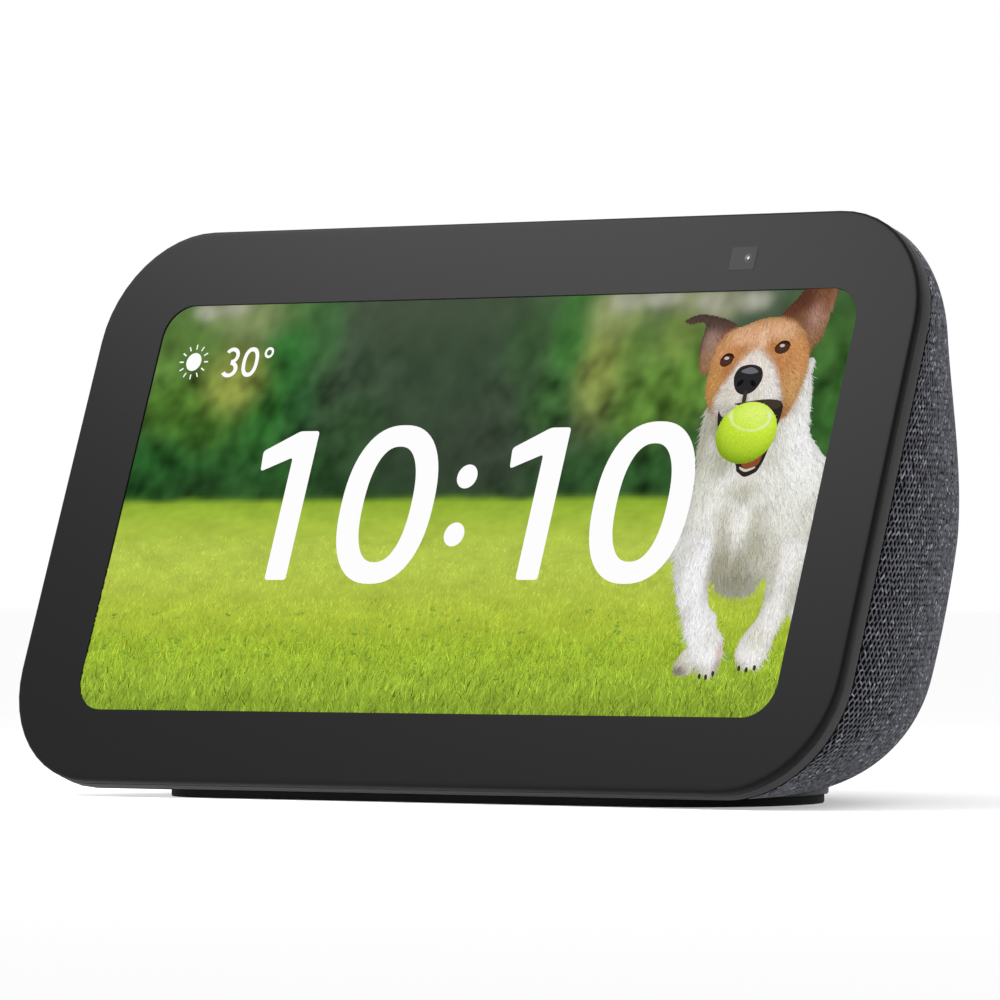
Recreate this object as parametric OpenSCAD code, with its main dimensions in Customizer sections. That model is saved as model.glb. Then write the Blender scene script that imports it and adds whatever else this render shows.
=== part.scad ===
// A table-top smart display: a leaning glass front on a fabric-covered wedge,
// with a camera, a sliding camera shutter, three top keys and a rear speaker.
// Lengths are in millimetres. +Z is up and the screen looks towards -Y.

/* [Front] */
// Width of the cover glass
glass_w = 147; // [140:1:180]
// Height of the cover glass, measured along its slope
glass_h = 85; // [82:1:104]
// Corner radius of the cover glass
glass_r = 17; // [12:0.5:20]
// Thickness of the cover glass
glass_t = 1.2; // [0.8:0.1:1.6]
// Lean of the glass back from upright
tilt = 20; // [16:1:24]
// Height of the glass's lower edge above the table
glass_lift = 2.3; // [2.0:0.1:3]
// Shadow gap between the glass and the frame behind it
glass_gap = 0.35; // [0.2:0.05:0.6]
// Depth of the frame's visible edge
flange_t = 1.5; // [1.2:0.1:2.5]

/* [Screen] */
// Width of the picture
screen_w = 125; // [110:1:126]
// Height of the picture
screen_h = 62.5; // [55:0.5:64]
// Distance from the glass's lower edge up to the picture
screen_up = 10.86; // [10:0.1:13]
// Thickness of the liquid-crystal cell
lcd_t = 1.4; // [1:0.1:1.8]
// Thickness of the backlight
backlight_t = 2.3; // [1.8:0.1:3]

/* [Body] */
// Depth over everything
body_d = 91; // [86:1:110]
// Height at which the back bulges furthest
bulge_z = 37; // [32:1:42]
// Depth of the flat top, measured from the glass's foot
top_back_y = 48; // [47:1:54]
// Depth of the flat underside, measured from the glass's foot
under_back_y = 42; // [36:1:50]
// Thickness of the knitted fabric cover
fabric_t = 0.75; // [0.5:0.05:1]
// Wall of the rear shell
wall = 2; // [1.6:0.1:2.4]
// Clearance between pieces that seat in each other
fit = 0.15; // [0.1:0.05:0.25]

/* [Foot] */
// Width of the rubber foot
foot_w = 104; // [90:1:108]
// Distance of the foot's front edge behind the glass's foot
foot_y = 4.8; // [4.6:0.1:8]
// Depth of the rubber foot, front to back
foot_d = 50; // [40:1:52]
// Thickness of the rubber foot
foot_t = 1.9; // [1.6:0.1:2.4]
// Margin of the base plate around the foot
base_margin = 0.6; // [0.5:0.1:0.8]

/* [Camera] */
// Sideways place of the camera, to the viewer's right
camera_x = 40.9; // [38:0.1:43]
// Distance of the camera below the glass's top edge
camera_down = 6.8; // [6.4:0.1:7.2]
// Width of the camera's housing
camera_w = 6.4; // [5:0.2:6.4]
// Diameter of the camera's lens barrel
lens_d = 3.4; // [2.4:0.2:3.6]
// Travel of the shutter
shutter_travel = 5; // [4:0.5:5]

/* [Keys] */
// Diameter of a key
key_d = 5.6; // [4.6:0.2:5.8]
// Distance between the keys
key_pitch = 17; // [14:0.5:17]
// Travel of a key
key_travel = 0.4; // [0.25:0.05:0.5]
// How far a key stands above the top strip
key_proud = 0.5; // [0.3:0.1:0.6]
// Width of the top strip, front to back
strip_w = 8.4; // [7.6:0.2:8.6]
// Length of the top strip
strip_l = 84; // [80:1:86]

/* [Speaker] */
// Diameter of the speaker's basket
speaker_d = 44; // [36:1:46]
// Height of the speaker's axis
speaker_z = 34; // [32:1:38]
// Depth of the speaker's front, measured from the glass's foot
speaker_y = 72; // [70:0.5:72]
// Depth of the speaker, rim to magnet
speaker_depth = 20; // [17:0.5:22]

/* [Power inlet] */
// Sideways place of the inlet
inlet_x = -31; // [-34:1:-30]
// Height of the inlet's axis
inlet_z = 17; // [16:0.5:19]
// Bore of the inlet's barrel
barrel_d = 4.2; // [4:0.1:5.6]
// Diameter of the inlet's centre pin
pin_d = 1.65; // [1.3:0.05:2.1]
// Diameter of the recess that takes the plug's boot
boot_d = 9; // [8:0.5:10]

/* [Hidden] */
$fn = 48;
eps = 0.01;

sin_t = sin(tilt);
cos_t = cos(tilt);
rim_depth = glass_t + glass_gap + flange_t;
body_bottom = glass_lift - rim_depth * sin_t;
body_top = glass_lift + glass_h * cos_t - rim_depth * sin_t - 0.35;
fabric_gap = 0.1;
shell_inset = fabric_t + fabric_gap;
cavity_inset = shell_inset + wall;
rings = 26;
ring_points = 40;

upper_power = 1.8;
lower_power_z = 1.4;
lower_power_y = 3.7;
plan_power = 1.32;
plan_power_under = 1.2;

// ---- the body's form -------------------------------------------------------

// Distance up the glass's slope of the frame's back edge at a height
function slope_at(z) = (z - body_bottom) / cos_t;

// Depth of the frame's back plane at a height
function front_y(z) = slope_at(z) * sin_t + rim_depth * cos_t;

// How far a height lies into the rounded corners, top or bottom
function corner_part(v) = v < glass_r ? glass_r - v : max(0, v - (glass_h - glass_r));

// Half the body's width at a height, drawn in by an inset
function half_width(z, inset) =
  glass_w / 2 - glass_r + sqrt(max(0, pow(glass_r - inset, 2) - pow(corner_part(slope_at(z)), 2)));

function low_z(inset) = body_bottom + inset;
function high_z(inset) = body_top - inset;
function above(z, inset) = (z - bulge_z) / (high_z(inset) - bulge_z);
function below(z, inset) = (bulge_z - z) / (bulge_z - low_z(inset));
function back_over(z, inset) =
  let (y_end = top_back_y - 0.3 * inset)
  y_end + (body_d - inset - y_end) * (1 - pow(above(z, inset), upper_power));
function back_under(z, inset) =
  let (share = max(0, 1 - pow(below(z, inset), lower_power_z)))
  under_back_y + (body_d - inset - under_back_y) * pow(share, 1 / lower_power_y);

// Depth of the back on the centre line at a height
function back_y(z, inset) = z > bulge_z ? back_over(z, inset) : back_under(z, inset);

// Exponent of the plan's curve: fuller underneath than in the middle
function plan_exponent(z, inset) =
  plan_power + (plan_power_under - plan_power) * pow(max(0, below(z, inset)), 2);

// Point on the body's side and back: phi runs from 0 on the right to 180 on the left
function skin_point(z, phi, inset) = [
  half_width(z, inset) * cos(phi),
  front_y(z) + (back_y(z, inset) - front_y(z)) * pow(sin(phi), plan_exponent(z, inset)),
  z
];

// Depth of the body's back at a sideways place and a height
function surface_y(x, z, inset) =
  front_y(z) + (back_y(z, inset) - front_y(z))
  * pow(sqrt(1 - pow(x / half_width(z, inset), 2)), plan_exponent(z, inset));

// Heights of the rings: closer together at the top and the bottom, one of them on the bulge
function ring_z(i, inset) =
  let (half = rings / 2, share = abs(i - half) / half)
  i < half
    ? bulge_z - (bulge_z - low_z(inset)) * sin(90 * share)
    : bulge_z + (high_z(inset) - bulge_z) * sin(90 * share);

function skin_points(inset) = [
  for (i = [0:rings]) for (j = [0:ring_points])
    skin_point(ring_z(i, inset), 180 * j / ring_points, inset)
];

// Two triangles for a quad given clockwise from outside
function quad(a, b, c, d) = [[a, b, c], [a, c, d]];
function index(i, j) = i * (ring_points + 1) + j;
function flip(faces) = [for (f = faces) [f[0], f[2], f[1]]];
function shift(faces, n) = [for (f = faces) [for (k = f) k + n]];
function skin_faces() = [
  for (i = [0:rings - 1]) for (j = [0:ring_points - 1])
    each quad(index(i, j), index(i + 1, j), index(i + 1, j + 1), index(i, j + 1))
];
function cap_faces(i) = [for (j = [1:ring_points - 1]) [index(i, 0), index(i, j + 1), index(i, j)]];
function front_faces() = [
  for (i = [0:rings - 1])
    each quad(index(i, ring_points), index(i + 1, ring_points), index(i + 1, 0), index(i, 0))
];

// The body as a solid, drawn in by an inset
module body_solid(inset) {
  polyhedron(
    points = skin_points(inset),
    faces = concat(skin_faces(), cap_faces(rings), flip(cap_faces(0)), front_faces()),
    convexity = 4
  );
}

// The body as a wall between two insets, open towards the glass
module body_wall(outer, inner) {
  n = (rings + 1) * (ring_points + 1);
  last = ring_points;
  closed = concat(skin_faces(), cap_faces(rings), flip(cap_faces(0)));
  sides = [
    for (i = [0:rings - 1])
      each concat(
        quad(n + index(i, 0), n + index(i + 1, 0), index(i + 1, 0), index(i, 0)),
        quad(index(i, last), index(i + 1, last), n + index(i + 1, last), n + index(i, last))
      )
  ];
  over = quad(n + index(rings, last), index(rings, last), index(rings, 0), n + index(rings, 0));
  under = quad(index(0, last), n + index(0, last), n + index(0, 0), index(0, 0));
  polyhedron(
    points = concat(skin_points(outer), skin_points(inner)),
    faces = concat(closed, flip(shift(closed, n)), sides, over, under),
    convexity = 6
  );
}

// ---- frames of reference ---------------------------------------------------

// Puts the origin under the middle of the body; y is then measured from the glass's foot
module on_table() {
  translate([0, -body_d / 2, 0]) children();
}

// Lays children on the leaning front: x across, y behind the glass's face, z up its slope
module on_slope() {
  on_table() translate([0, 0, glass_lift]) rotate([-tilt, 0, 0]) children();
}

// ---- small shapes ----------------------------------------------------------

// A box from its low corner and its size
module block(low, size) {
  translate(low) cube(size);
}

// A plate on the slope: rounded rectangle, centred in x
module slope_plate(w, low_v, high_v, r, y, t) {
  h = high_v - low_v;
  translate([0, y, low_v]) {
    block([-w / 2 + r, 0, 0], [w - 2 * r, t, h]);
    block([-w / 2, 0, r], [w, t, h - 2 * r]);
    for (x = [-w / 2 + r, w / 2 - r]) for (v = [r, h - r])
      translate([x, t, v]) rotate([90, 0, 0]) cylinder(r = r, h = t);
  }
}

// A cylinder along +Y
module rod_y(d, y, h) {
  translate([0, y + h, 0]) rotate([90, 0, 0]) cylinder(d = d, h = h);
}

// A stadium standing on z, long in x
module stadium(l, w, z, h) {
  translate([0, 0, z]) {
    for (side = [-1, 1]) translate([side * (l - w) / 2, 0, 0]) cylinder(d = w, h = h);
    block([-(l - w) / 2, -w / 2, 0], [l - w, w, h]);
  }
}

// A ring on z
module ring(outer, inner, z, h) {
  translate([0, 0, z]) difference() {
    cylinder(d = outer, h = h);
    translate([0, 0, -1]) cylinder(d = inner, h = h + 2);
  }
}

// A pan-head screw along +Y: its head's underside is at y = 0 and its shank runs to +Y
screw_d = 1.8;
screw_head_d = 3.4;
screw_head_h = 1.1;
screw_hole_d = screw_d + 2 * 0.1;
module screw(l) {
  rod_y(screw_d, 0, l);
  difference() {
    rod_y(screw_head_d, -screw_head_h, screw_head_h);
    for (turn = [0, 90])
      rotate([0, turn, 0]) block([-0.9, -screw_head_h - 1, -0.2], [1.8, 1.5, 0.4]);
  }
}

// A round tube of four or more sides swept along a route
function unit(v) = v / norm(v);
function route_dir(p, i) = unit(p[min(i + 1, len(p) - 1)] - p[max(i - 1, 0)]);
module wire(route, d, sides = 8) {
  up = [0.13, 0.21, 0.97];
  last = len(route) - 1;
  pts = [
    for (i = [0:last])
      let (t = route_dir(route, i), u = unit(cross(t, up)), w = cross(t, u))
      for (k = [0:sides - 1])
        route[i] + d / 2 * (u * cos(360 * k / sides) + w * sin(360 * k / sides))
  ];
  tube = [
    for (i = [0:last - 1]) for (k = [0:sides - 1])
      let (a = i * sides + k, b = i * sides + (k + 1) % sides)
      each quad(a, b, b + sides, a + sides)
  ];
  start = [for (k = [1:sides - 2]) [0, k + 1, k]];
  stop = [for (k = [1:sides - 2]) [last * sides, last * sides + k, last * sides + k + 1]];
  polyhedron(points = pts, faces = concat(flip(tube), flip(start), flip(stop)), convexity = 8);
}

// ---- glass, screen and frame ----------------------------------------------

side_margin = cavity_inset + fit + 0.4;
tray_w = glass_w - 2 * side_margin;
tray_low = (cavity_inset + 2 * fit) / cos_t + 1.2;
tray_high = glass_h - cavity_inset - 2 * fit - 0.7;
tray_r = glass_r - side_margin;
tray_wall = 1.5;
tray_depth = 2.2;
panel_margin = 2.5;
panel_w = screen_w + 2 * panel_margin;
panel_low = screen_up - 3.4;
panel_high = screen_up + screen_h + 1.3;
panel_clear = 0.5;
camera_v = glass_h - camera_down;
lcd_y = glass_t;
backlight_y = lcd_y + lcd_t;
bracket_y = backlight_y + backlight_t + 0.1;
bracket_t = 0.5;
tab_w = 5;

module front_glass() {
  color("#2c2d2f") on_slope() slope_plate(glass_w, 0, glass_h, glass_r, 0, glass_t);
}

module glass_adhesive() {
  inset = 0.8;
  band = 1.6;
  inner = inset + band;
  color("#101010") on_slope() difference() {
    slope_plate(glass_w - 2 * inset, inset, glass_h - inset, glass_r - inset, glass_t, glass_gap);
    slope_plate(glass_w - 2 * inner, inner, glass_h - inner, glass_r - inner, glass_t - 1, 3);
  }
}

module lcd_panel() {
  color("#1b2a1b") on_slope()
    block([-panel_w / 2, lcd_y, panel_low], [panel_w, lcd_t, panel_high - panel_low]);
}

module backlight() {
  color("#d8d8d4") on_slope() block(
    [-panel_w / 2 + 0.3, backlight_y, panel_low + 1.6],
    [panel_w - 0.6, backlight_t, panel_high - panel_low - 1.8]
  );
}

// Places of the bracket's four screws: sideways and up the slope
bracket_spots = [for (x = [-1, 1]) for (v = [20, 64]) [x * (panel_w / 2 + 2.6), v]];

module display_bracket() {
  cutout_w = 26;
  color("#b9bcc0") on_slope() difference() {
    union() {
      block(
        [-panel_w / 2 - 0.2, bracket_y, panel_low + 1.6],
        [panel_w + 0.4, bracket_t, panel_high - panel_low - 1.8]
      );
      for (s = bracket_spots)
        block([s[0] - tab_w / 2, bracket_y, s[1] - tab_w / 2], [tab_w, bracket_t, tab_w]);
      for (s = board_spots) translate([s[0], 0, s[1]])
        rod_y(4, bracket_y + bracket_t - eps, main_y - bracket_y - bracket_t + eps);
    }
    for (s = board_spots) translate([s[0], 0, s[1]]) rod_y(screw_hole_d, main_y - 2.6, 5);
    for (s = bracket_spots) translate([s[0], 0, s[1]]) rod_y(screw_hole_d, bracket_y - 1, 3);
    for (x = [-40, 0, 40])
      block([x - cutout_w / 2, bracket_y - 1, 30], [cutout_w, 3, 24]);
  }
}

module bracket_screws() {
  color("#8f9296") on_slope() for (s = bracket_spots)
    translate([s[0], bracket_y + bracket_t, s[1]]) rotate([180, 0, 0]) screw(2.6);
}

module front_frame() {
  plate_y = glass_t + glass_gap;
  color("#333436") on_slope() difference() {
    union() {
      slope_plate(glass_w, 0, glass_h, glass_r, plate_y, flange_t);
      difference() {
        slope_plate(tray_w, tray_low, tray_high, tray_r, rim_depth - eps, tray_depth);
        slope_plate(
          tray_w - 2 * tray_wall, tray_low + tray_wall, tray_high - tray_wall,
          tray_r - tray_wall, rim_depth - 1, tray_depth + 2
        );
      }
      for (s = bracket_spots) translate([s[0], 0, s[1]])
        rod_y(4.4, rim_depth - eps, bracket_y - rim_depth - 0.05 + eps);
      for (s = shell_spots) translate([s[0], 0, s[1]])
        rod_y(shell_boss_d, rim_depth - eps, tray_depth + eps);
    }
    block(
      [-panel_w / 2 - panel_clear, 0, panel_low - panel_clear],
      [panel_w + 2 * panel_clear, 10, panel_high - panel_low + 2 * panel_clear]
    );
    // pocket and opening for the camera, its shutter and the light sensor
    block([arm_x - 0.4, 0, panel_high + 0.9], [blade_end - arm_x + shutter_travel + 0.8, blade_y + 0.5, 6]);
    block(
      [camera_x - camera_w / 2 - 0.2, 0, camera_v - camera_w / 2 - 0.1],
      [camera_w + 0.4, 12, camera_w + 0.2]
    );
    block([arm_x - 0.2, 0, arm_low - 0.4], [shutter_travel + arm_w + 0.4, 10, 2]);
    block([camera_x + 5.4, 0, camera_v - 1.6], [3.2, 10, 3.2]);
    for (s = bracket_spots) translate([s[0], 0, s[1]]) {
      block([-tab_w / 2 - 0.3, bracket_y - 0.05, -tab_w / 2 - 0.3], [tab_w + 0.6, 4, tab_w + 0.6]);
      rod_y(screw_hole_d, 2.2, 6);
    }
    for (s = shell_spots) translate([s[0], 0, s[1]]) {
      rod_y(screw_hole_d, 0, 20);
      rod_y(screw_head_d + 0.4, 0, screw_seat);
    }
  }
}

// ---- shell, fabric, base and foot ------------------------------------------

foot_front_r = 15;
foot_back_r = 34;
base_low = 1.3;
base_high = low_z(cavity_inset);

// Quarter circle in steps, from an angle on
function quarter(x, y, r, from) =
  [for (k = [0:9]) [x + r * cos(from + 10 * k), y + r * sin(from + 10 * k)]];

// Outline of the foot, grown by a margin
module foot_outline(margin) {
  front_x = foot_w / 2 - foot_front_r;
  back_x = foot_w / 2 - foot_back_r;
  front_cy = foot_y + foot_front_r;
  back_cy = foot_y + foot_d - foot_back_r;
  polygon(concat(
    quarter(front_x, front_cy, foot_front_r + margin, -90),
    quarter(back_x, back_cy, foot_back_r + margin, 0),
    quarter(-back_x, back_cy, foot_back_r + margin, 90),
    quarter(-front_x, front_cy, foot_front_r + margin, 180)
  ));
}

module rubber_foot() {
  color("#1c1c1d") on_table() linear_extrude(foot_t) foot_outline(0);
}

module base_plate() {
  color("#29292b") on_table() difference() {
    translate([0, 0, base_low]) linear_extrude(base_high - base_low) foot_outline(base_margin);
    translate([0, 0, base_low - 1]) linear_extrude(foot_t - base_low + 1) foot_outline(fit);
  }
}

strip_y = front_y(body_top) + 1.4 + strip_w / 2;
strip_x = 2;
strip_t = 1.8;
strip_high = body_top + 0.1;
strip_under = strip_high - strip_t;
roof_low = high_z(cavity_inset);
bezel_d = boot_d + 3.4;
boot_depth = 8;
bezel_floor_t = 1.5;
inlet_floor_y = surface_y(inlet_x, inlet_z, 0) - boot_depth;
jack_front = inlet_floor_y - bezel_floor_t;
jack_len = 11;
jack_w = 7.6;
nose_d = 6;
barrel_depth = 9;

// What the fabric and the shell both leave open: base, top strip and inlet
module openings(gap) {
  translate([0, 0, -1]) linear_extrude(base_high + 1 + eps) foot_outline(base_margin + gap);
  translate([strip_x, strip_y, 0])
    stadium(strip_l + 2 * gap, strip_w + 2 * gap, roof_low - 1, 10);
  translate([inlet_x, 0, inlet_z]) rod_y(bezel_d + 2 * gap, inlet_floor_y - 3, 40);
}

grille_pitch = 6;
grille_hole_d = 4;
grille_spots = [
  for (i = [-6:6]) for (j = [-4:4])
    let (x = grille_pitch * (i + j / 2), z = grille_pitch * j * sqrt(3) / 2)
    if (norm([x, z]) < speaker_d / 2 - 3) [x, z]
];

// Bosses that take the frame's screws, and those that take the speaker's
shell_spots = [for (x = [-1, 1]) for (v = [34, 50]) [x * (tray_w / 2 - 2.4), v]];
shell_boss_d = 4.4;
shell_boss_len = 5;
tray_back = rim_depth + tray_depth;
speaker_spots = [for (x = [-1, 1]) for (z = [-1, 1]) [x * 20.5, z * 21]];
speaker_boss_d = 5;
ear_front = speaker_y - 2.3;
ear_t = 2;

module grille_holes(y, h) {
  for (s = grille_spots) translate([s[0], 0, speaker_z + s[1]]) rod_y(grille_hole_d, y, h);
}

module rear_shell() {
  rib = 2.6;
  color("#262627") difference() {
    union() {
      on_table() body_wall(shell_inset, cavity_inset);
      on_slope() for (s = shell_spots) translate([s[0], 0, s[1]]) {
        rod_y(shell_boss_d, tray_back + fit, shell_boss_len);
        translate([s[0] > 0 ? 0 : -rib - 0.6, 0, 0])
          block([0, tray_back + fit, -1], [rib + 0.6, shell_boss_len - 1, 2]);
      }
      on_table() for (s = speaker_spots) {
        end_y = surface_y(s[0], speaker_z + s[1], cavity_inset);
        translate([s[0], 0, speaker_z + s[1]])
          rod_y(speaker_boss_d, ear_front + 0.1, end_y - ear_front - 0.1);
      }
    }
    on_table() openings(fit);
    on_table() grille_holes(speaker_y, 30);
    on_slope() for (s = shell_spots)
      translate([s[0], 0, s[1]]) rod_y(screw_hole_d, tray_back - 1, shell_boss_len);
    on_table() for (s = speaker_spots)
      translate([s[0], 0, speaker_z + s[1]]) rod_y(screw_hole_d, ear_front - 1, 3.4);
  }
}

module fabric_cover() {
  color("#4a4b50") on_table() difference() {
    body_wall(0, fabric_t);
    openings(2 * fit);
  }
}

screw_seat = 2.7;
module shell_screws() {
  color("#8f9296") on_slope() for (s = shell_spots)
    translate([s[0], screw_seat, s[1]]) screw(tray_back + shell_boss_len - 1.6 - screw_seat);
}

// ---- top strip, keys and microphones ---------------------------------------

skirt_t = 0.7;
strip_foot = roof_low - 1.6;
strip_flange_t = 0.9;
key_x = strip_x - 20;
key_spots = [for (k = [-1:1]) key_x + k * key_pitch];
mic_spots = [key_x - key_pitch / 2, key_x + 1.5 * key_pitch + 4];
key_clear = 0.15;
key_flange_d = key_d + 1;
key_flange_t = 0.8;
key_flange_high = strip_under - 0.05;
board_t = 1.2;
top_board_high = strip_under - 6.9;
switch_h = 1.6;
switch_tip = 0.5;
switch_top = top_board_high + switch_h + switch_tip;
top_board_ends = [strip_x - strip_l / 2 + 1, strip_x + 20];
window_w = 4.1;
arm_w = 3;
arm_x = camera_x - camera_w / 2 - 0.2 - shutter_travel - arm_w;
blade_end = camera_x - window_w / 2 - 0.5;
knob_slot_w = 2.2;

module top_strip() {
  inner_l = strip_l - 2 * skirt_t;
  inner_w = strip_w - 2 * skirt_t;
  leg_y = strip_w / 2 - skirt_t;
  color("#303133") on_table() translate([0, strip_y, 0]) difference() {
    union() {
      translate([strip_x, 0, 0]) difference() {
        union() {
          stadium(strip_l, strip_w, strip_foot, strip_high - strip_foot);
          stadium(strip_l + 3, strip_w, strip_foot, strip_flange_t);
        }
        stadium(inner_l, inner_w, strip_foot - 1, strip_under - strip_foot + 1);
      }
      for (x = [top_board_ends[0] + 3, top_board_ends[1] - 5]) for (side = [-1, 1])
        block(
          [x, side > 0 ? leg_y : -leg_y - skirt_t, top_board_high],
          [2, skirt_t, strip_foot - top_board_high + 0.5]
        );
    }
    for (x = key_spots) translate([x, 0, 60]) cylinder(d = key_d + 2 * key_clear, h = 30);
    for (x = mic_spots) translate([x, 0, 60]) cylinder(d = 1.2, h = 30);
    block(
      [arm_x - 0.2, -knob_slot_w / 2, 60],
      [shutter_travel + arm_w + 0.4, knob_slot_w, 30]
    );
  }
}

module key(x) {
  flange_low = key_flange_high - key_flange_t;
  tip = switch_top + key_travel + 0.05;
  color("#3a3b3d") on_table() translate([x, strip_y, 0]) {
    translate([0, 0, tip]) cylinder(d = 2.6, h = flange_low - tip + eps);
    translate([0, 0, flange_low]) cylinder(d = key_flange_d, h = key_flange_t);
    translate([0, 0, flange_low]) cylinder(d = key_d, h = strip_high + key_proud - flange_low);
  }
}
module mute_key() { key(key_spots[0]); }
module volume_down_key() { key(key_spots[1]); }
module volume_up_key() { key(key_spots[2]); }

module key_switches() {
  color("#c8c8c4") on_table() for (x = key_spots) translate([x, strip_y, top_board_high]) {
    block([-2.1, -1.6, 0], [4.2, 3.2, switch_h]);
    cylinder(d = 1.6, h = switch_h + switch_tip);
  }
}

module top_board() {
  color("#1f5b3a") on_table() block(
    [top_board_ends[0], strip_y - 5.6, top_board_high - board_t],
    [top_board_ends[1] - top_board_ends[0], 11.2, board_t]
  );
}

mic_h = 1;
module microphones() {
  color("#b8b48e") on_table() for (x = mic_spots)
    translate([x, strip_y, top_board_high]) block([-1.75, -1.3, 0], [3.5, 2.6, mic_h]);
}

module microphone_gaskets() {
  low = top_board_high + mic_h;
  color("#151515") on_table() for (x = mic_spots)
    translate([x, strip_y, 0]) ring(2.6, 1.2, low, strip_under - low);
}

// ---- camera, shutter and light sensor --------------------------------------

camera_y = 2.6;
camera_depth = 2.9;
barrel_front = 1.95;
blade_y = glass_t + 0.1;
blade_t = 0.3;
arm_low = camera_v - 2.4;

module camera_module() {
  color("#1a1a1a") on_slope() translate([camera_x, 0, camera_v]) difference() {
    union() {
      block([-camera_w / 2, camera_y, -camera_w / 2 + 0.1], [camera_w, camera_depth, camera_w - 0.2]);
      rod_y(lens_d, barrel_front, 1);
    }
    rod_y(lens_d - 0.8, barrel_front - 1, 2);
  }
}

module camera_lens() {
  color("#232b3a") on_slope() translate([camera_x, 0, camera_v])
    rod_y(lens_d - 1, barrel_front - 0.15, 1.1);
}

module camera_bracket() {
  back = camera_y + camera_depth;
  plate_t = 0.4;
  low_v = -2.6;
  color("#a9acb0") on_slope() translate([camera_x, 0, camera_v]) {
    block([-camera_w / 2, back, low_v], [camera_w / 2 + 4.6, plate_t, 3.9]);
    block([-5.2, back, -0.6], [2.2, plate_t, 1.9]);
    block([4.1, rim_depth, low_v], [0.5, back - rim_depth + plate_t, 3.9]);
    block([-5.2, rim_depth, 0], [0.5, back - rim_depth + plate_t, 1.3]);
  }
}

module shutter_blade() {
  reach = (strip_y + 1 - (arm_low + 0.6) * sin_t) / cos_t;
  foot_z = glass_lift + (arm_low + 0.6) * cos_t - reach * sin_t - 0.4;
  color("#e8e8e6") {
    on_slope() {
      block([arm_x, blade_y, arm_low], [blade_end - arm_x, blade_t, 5]);
      block([arm_x, blade_y, arm_low], [arm_w, reach - blade_y, 1.2]);
    }
    on_table() block([arm_x, strip_y - 1, foot_z], [arm_w, 2, strip_under - 0.3 - foot_z]);
  }
}

module shutter_knob() {
  cap_low = strip_high + 0.12;
  color("#3a3b3d") on_table() translate([arm_x + arm_w / 2, strip_y, 0]) {
    block([-arm_w / 2 + 0.2, -0.8, strip_under - 0.3], [arm_w - 0.4, 1.6, cap_low - strip_under + 0.4]);
    stadium(6.4, 4.2, cap_low, 0.8);
  }
}

module light_sensor() {
  color("#d9d4c0") on_slope() block([camera_x + 6, 2, camera_v - 1], [2, 1, 2]);
}

// ---- boards ----------------------------------------------------------------

main_y = 9.2;
main_back = main_y + board_t;
main_x = [-58, 50];
main_v = [14, 64];
can_spots = [[-14, 40, 32, 26], [22, 42, 24, 20]];
can_h = 2;
pad_t = 0.8;
board_spots = [for (x = [main_x[0] + 4, main_x[1] - 4]) for (v = [main_v[0] + 4, main_v[1] - 4]) [x, v]];
wire_plug_spots = [[-40, 20.7], [18, 24.7]];

module main_board() {
  color("#1c4d33") on_slope() difference() {
    block([main_x[0], main_y, main_v[0]], [main_x[1] - main_x[0], board_t, main_v[1] - main_v[0]]);
    for (s = board_spots) translate([s[0], 0, s[1]]) rod_y(screw_hole_d, main_y - 1, 4);
  }
}

module board_screws() {
  color("#8f9296") on_slope() for (s = board_spots)
    translate([s[0], main_back, s[1]]) rotate([180, 0, 0]) screw(3.4);
}

module shield_cans() {
  sheet = 0.25;
  color("#c6c8ca") on_slope() for (c = can_spots) translate([c[0], main_back, c[1]]) difference() {
    block([-c[2] / 2, 0, -c[3] / 2], [c[2], can_h, c[3]]);
    block(
      [-c[2] / 2 + sheet, -1, -c[3] / 2 + sheet],
      [c[2] - 2 * sheet, can_h + 1 - sheet, c[3] - 2 * sheet]
    );
  }
}

module memory_chips() {
  color("#16171a") on_slope() {
    block([-14 - 7, main_back, 40 - 7], [14, 1.3, 14]);
    block([22 - 5.5, main_back, 42 - 6.5], [11, 1.1, 13]);
    block([-45, main_back, 34], [9, 1, 8]);
  }
}

module wireless_module() {
  color("#b4b7ba") on_slope() block([-50, main_back, 46], [15, 1.8, 13]);
}

module board_connectors() {
  color("#e6e2d4") on_slope() {
    for (s = wire_plug_spots) block([s[0] - 3.4, main_back, s[1] - 2.2], [6.8, 2.4, 4.4]);
    block([-9, main_back, 15.5], [18, 0.6, 3]);
    block([camera_x - 3, main_back, 59.5], [6, 0.6, 2.6]);
    block([-3, main_back, 58.2], [10, 0.6, 2.6]);
  }
}

module thermal_pad() {
  color("#7f8ea3") on_slope()
    block([-14 - 10, main_back + can_h, 40 - 10], [20, pad_t, 20]);
}

module heat_spreader() {
  color("#c9cbcd") on_slope()
    block([-36, main_back + can_h + pad_t, 28], [72, 1, 29]);
}

module antennas() {
  color("#c79a52") on_slope() {
    block([-58, rim_depth, tray_high - tray_wall - 3.2], [26, 0.2, 3]);
    block([-24, rim_depth, tray_high - tray_wall - 3.2], [26, 0.2, 3]);
  }
}

// A flat ribbon bent along a route of [y, z] points, from x on, of width w and thickness t
function side_step(p, i, t) = let (d = route_dir(p, i)) t / 2 * [-d[1], d[0]];
module ribbon(route, x, w, t = 0.2) {
  last = len(route) - 1;
  outline = concat(
    [for (i = [0:last]) route[i] + side_step(route, i, t)],
    [for (i = [last:-1:0]) route[i] - side_step(route, i, t)]
  );
  translate([x, 0, 0]) rotate([90, 0, 90]) linear_extrude(w) polygon(outline);
}

module display_flex() {
  back = main_back + 0.75;
  low = panel_low + 0.25;
  color("#b0722c") on_slope() {
    ribbon([[backlight_y + 0.12, low + 1], [backlight_y + 0.3, low + 0.3], [backlight_y + 1, low]], -10, 20);
    ribbon(
      [[backlight_y + 0.9, low], [back - 1, low], [back - 0.2, low + 0.8], [back, low + 2], [back, 18]],
      -8, 16
    );
  }
}

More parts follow.
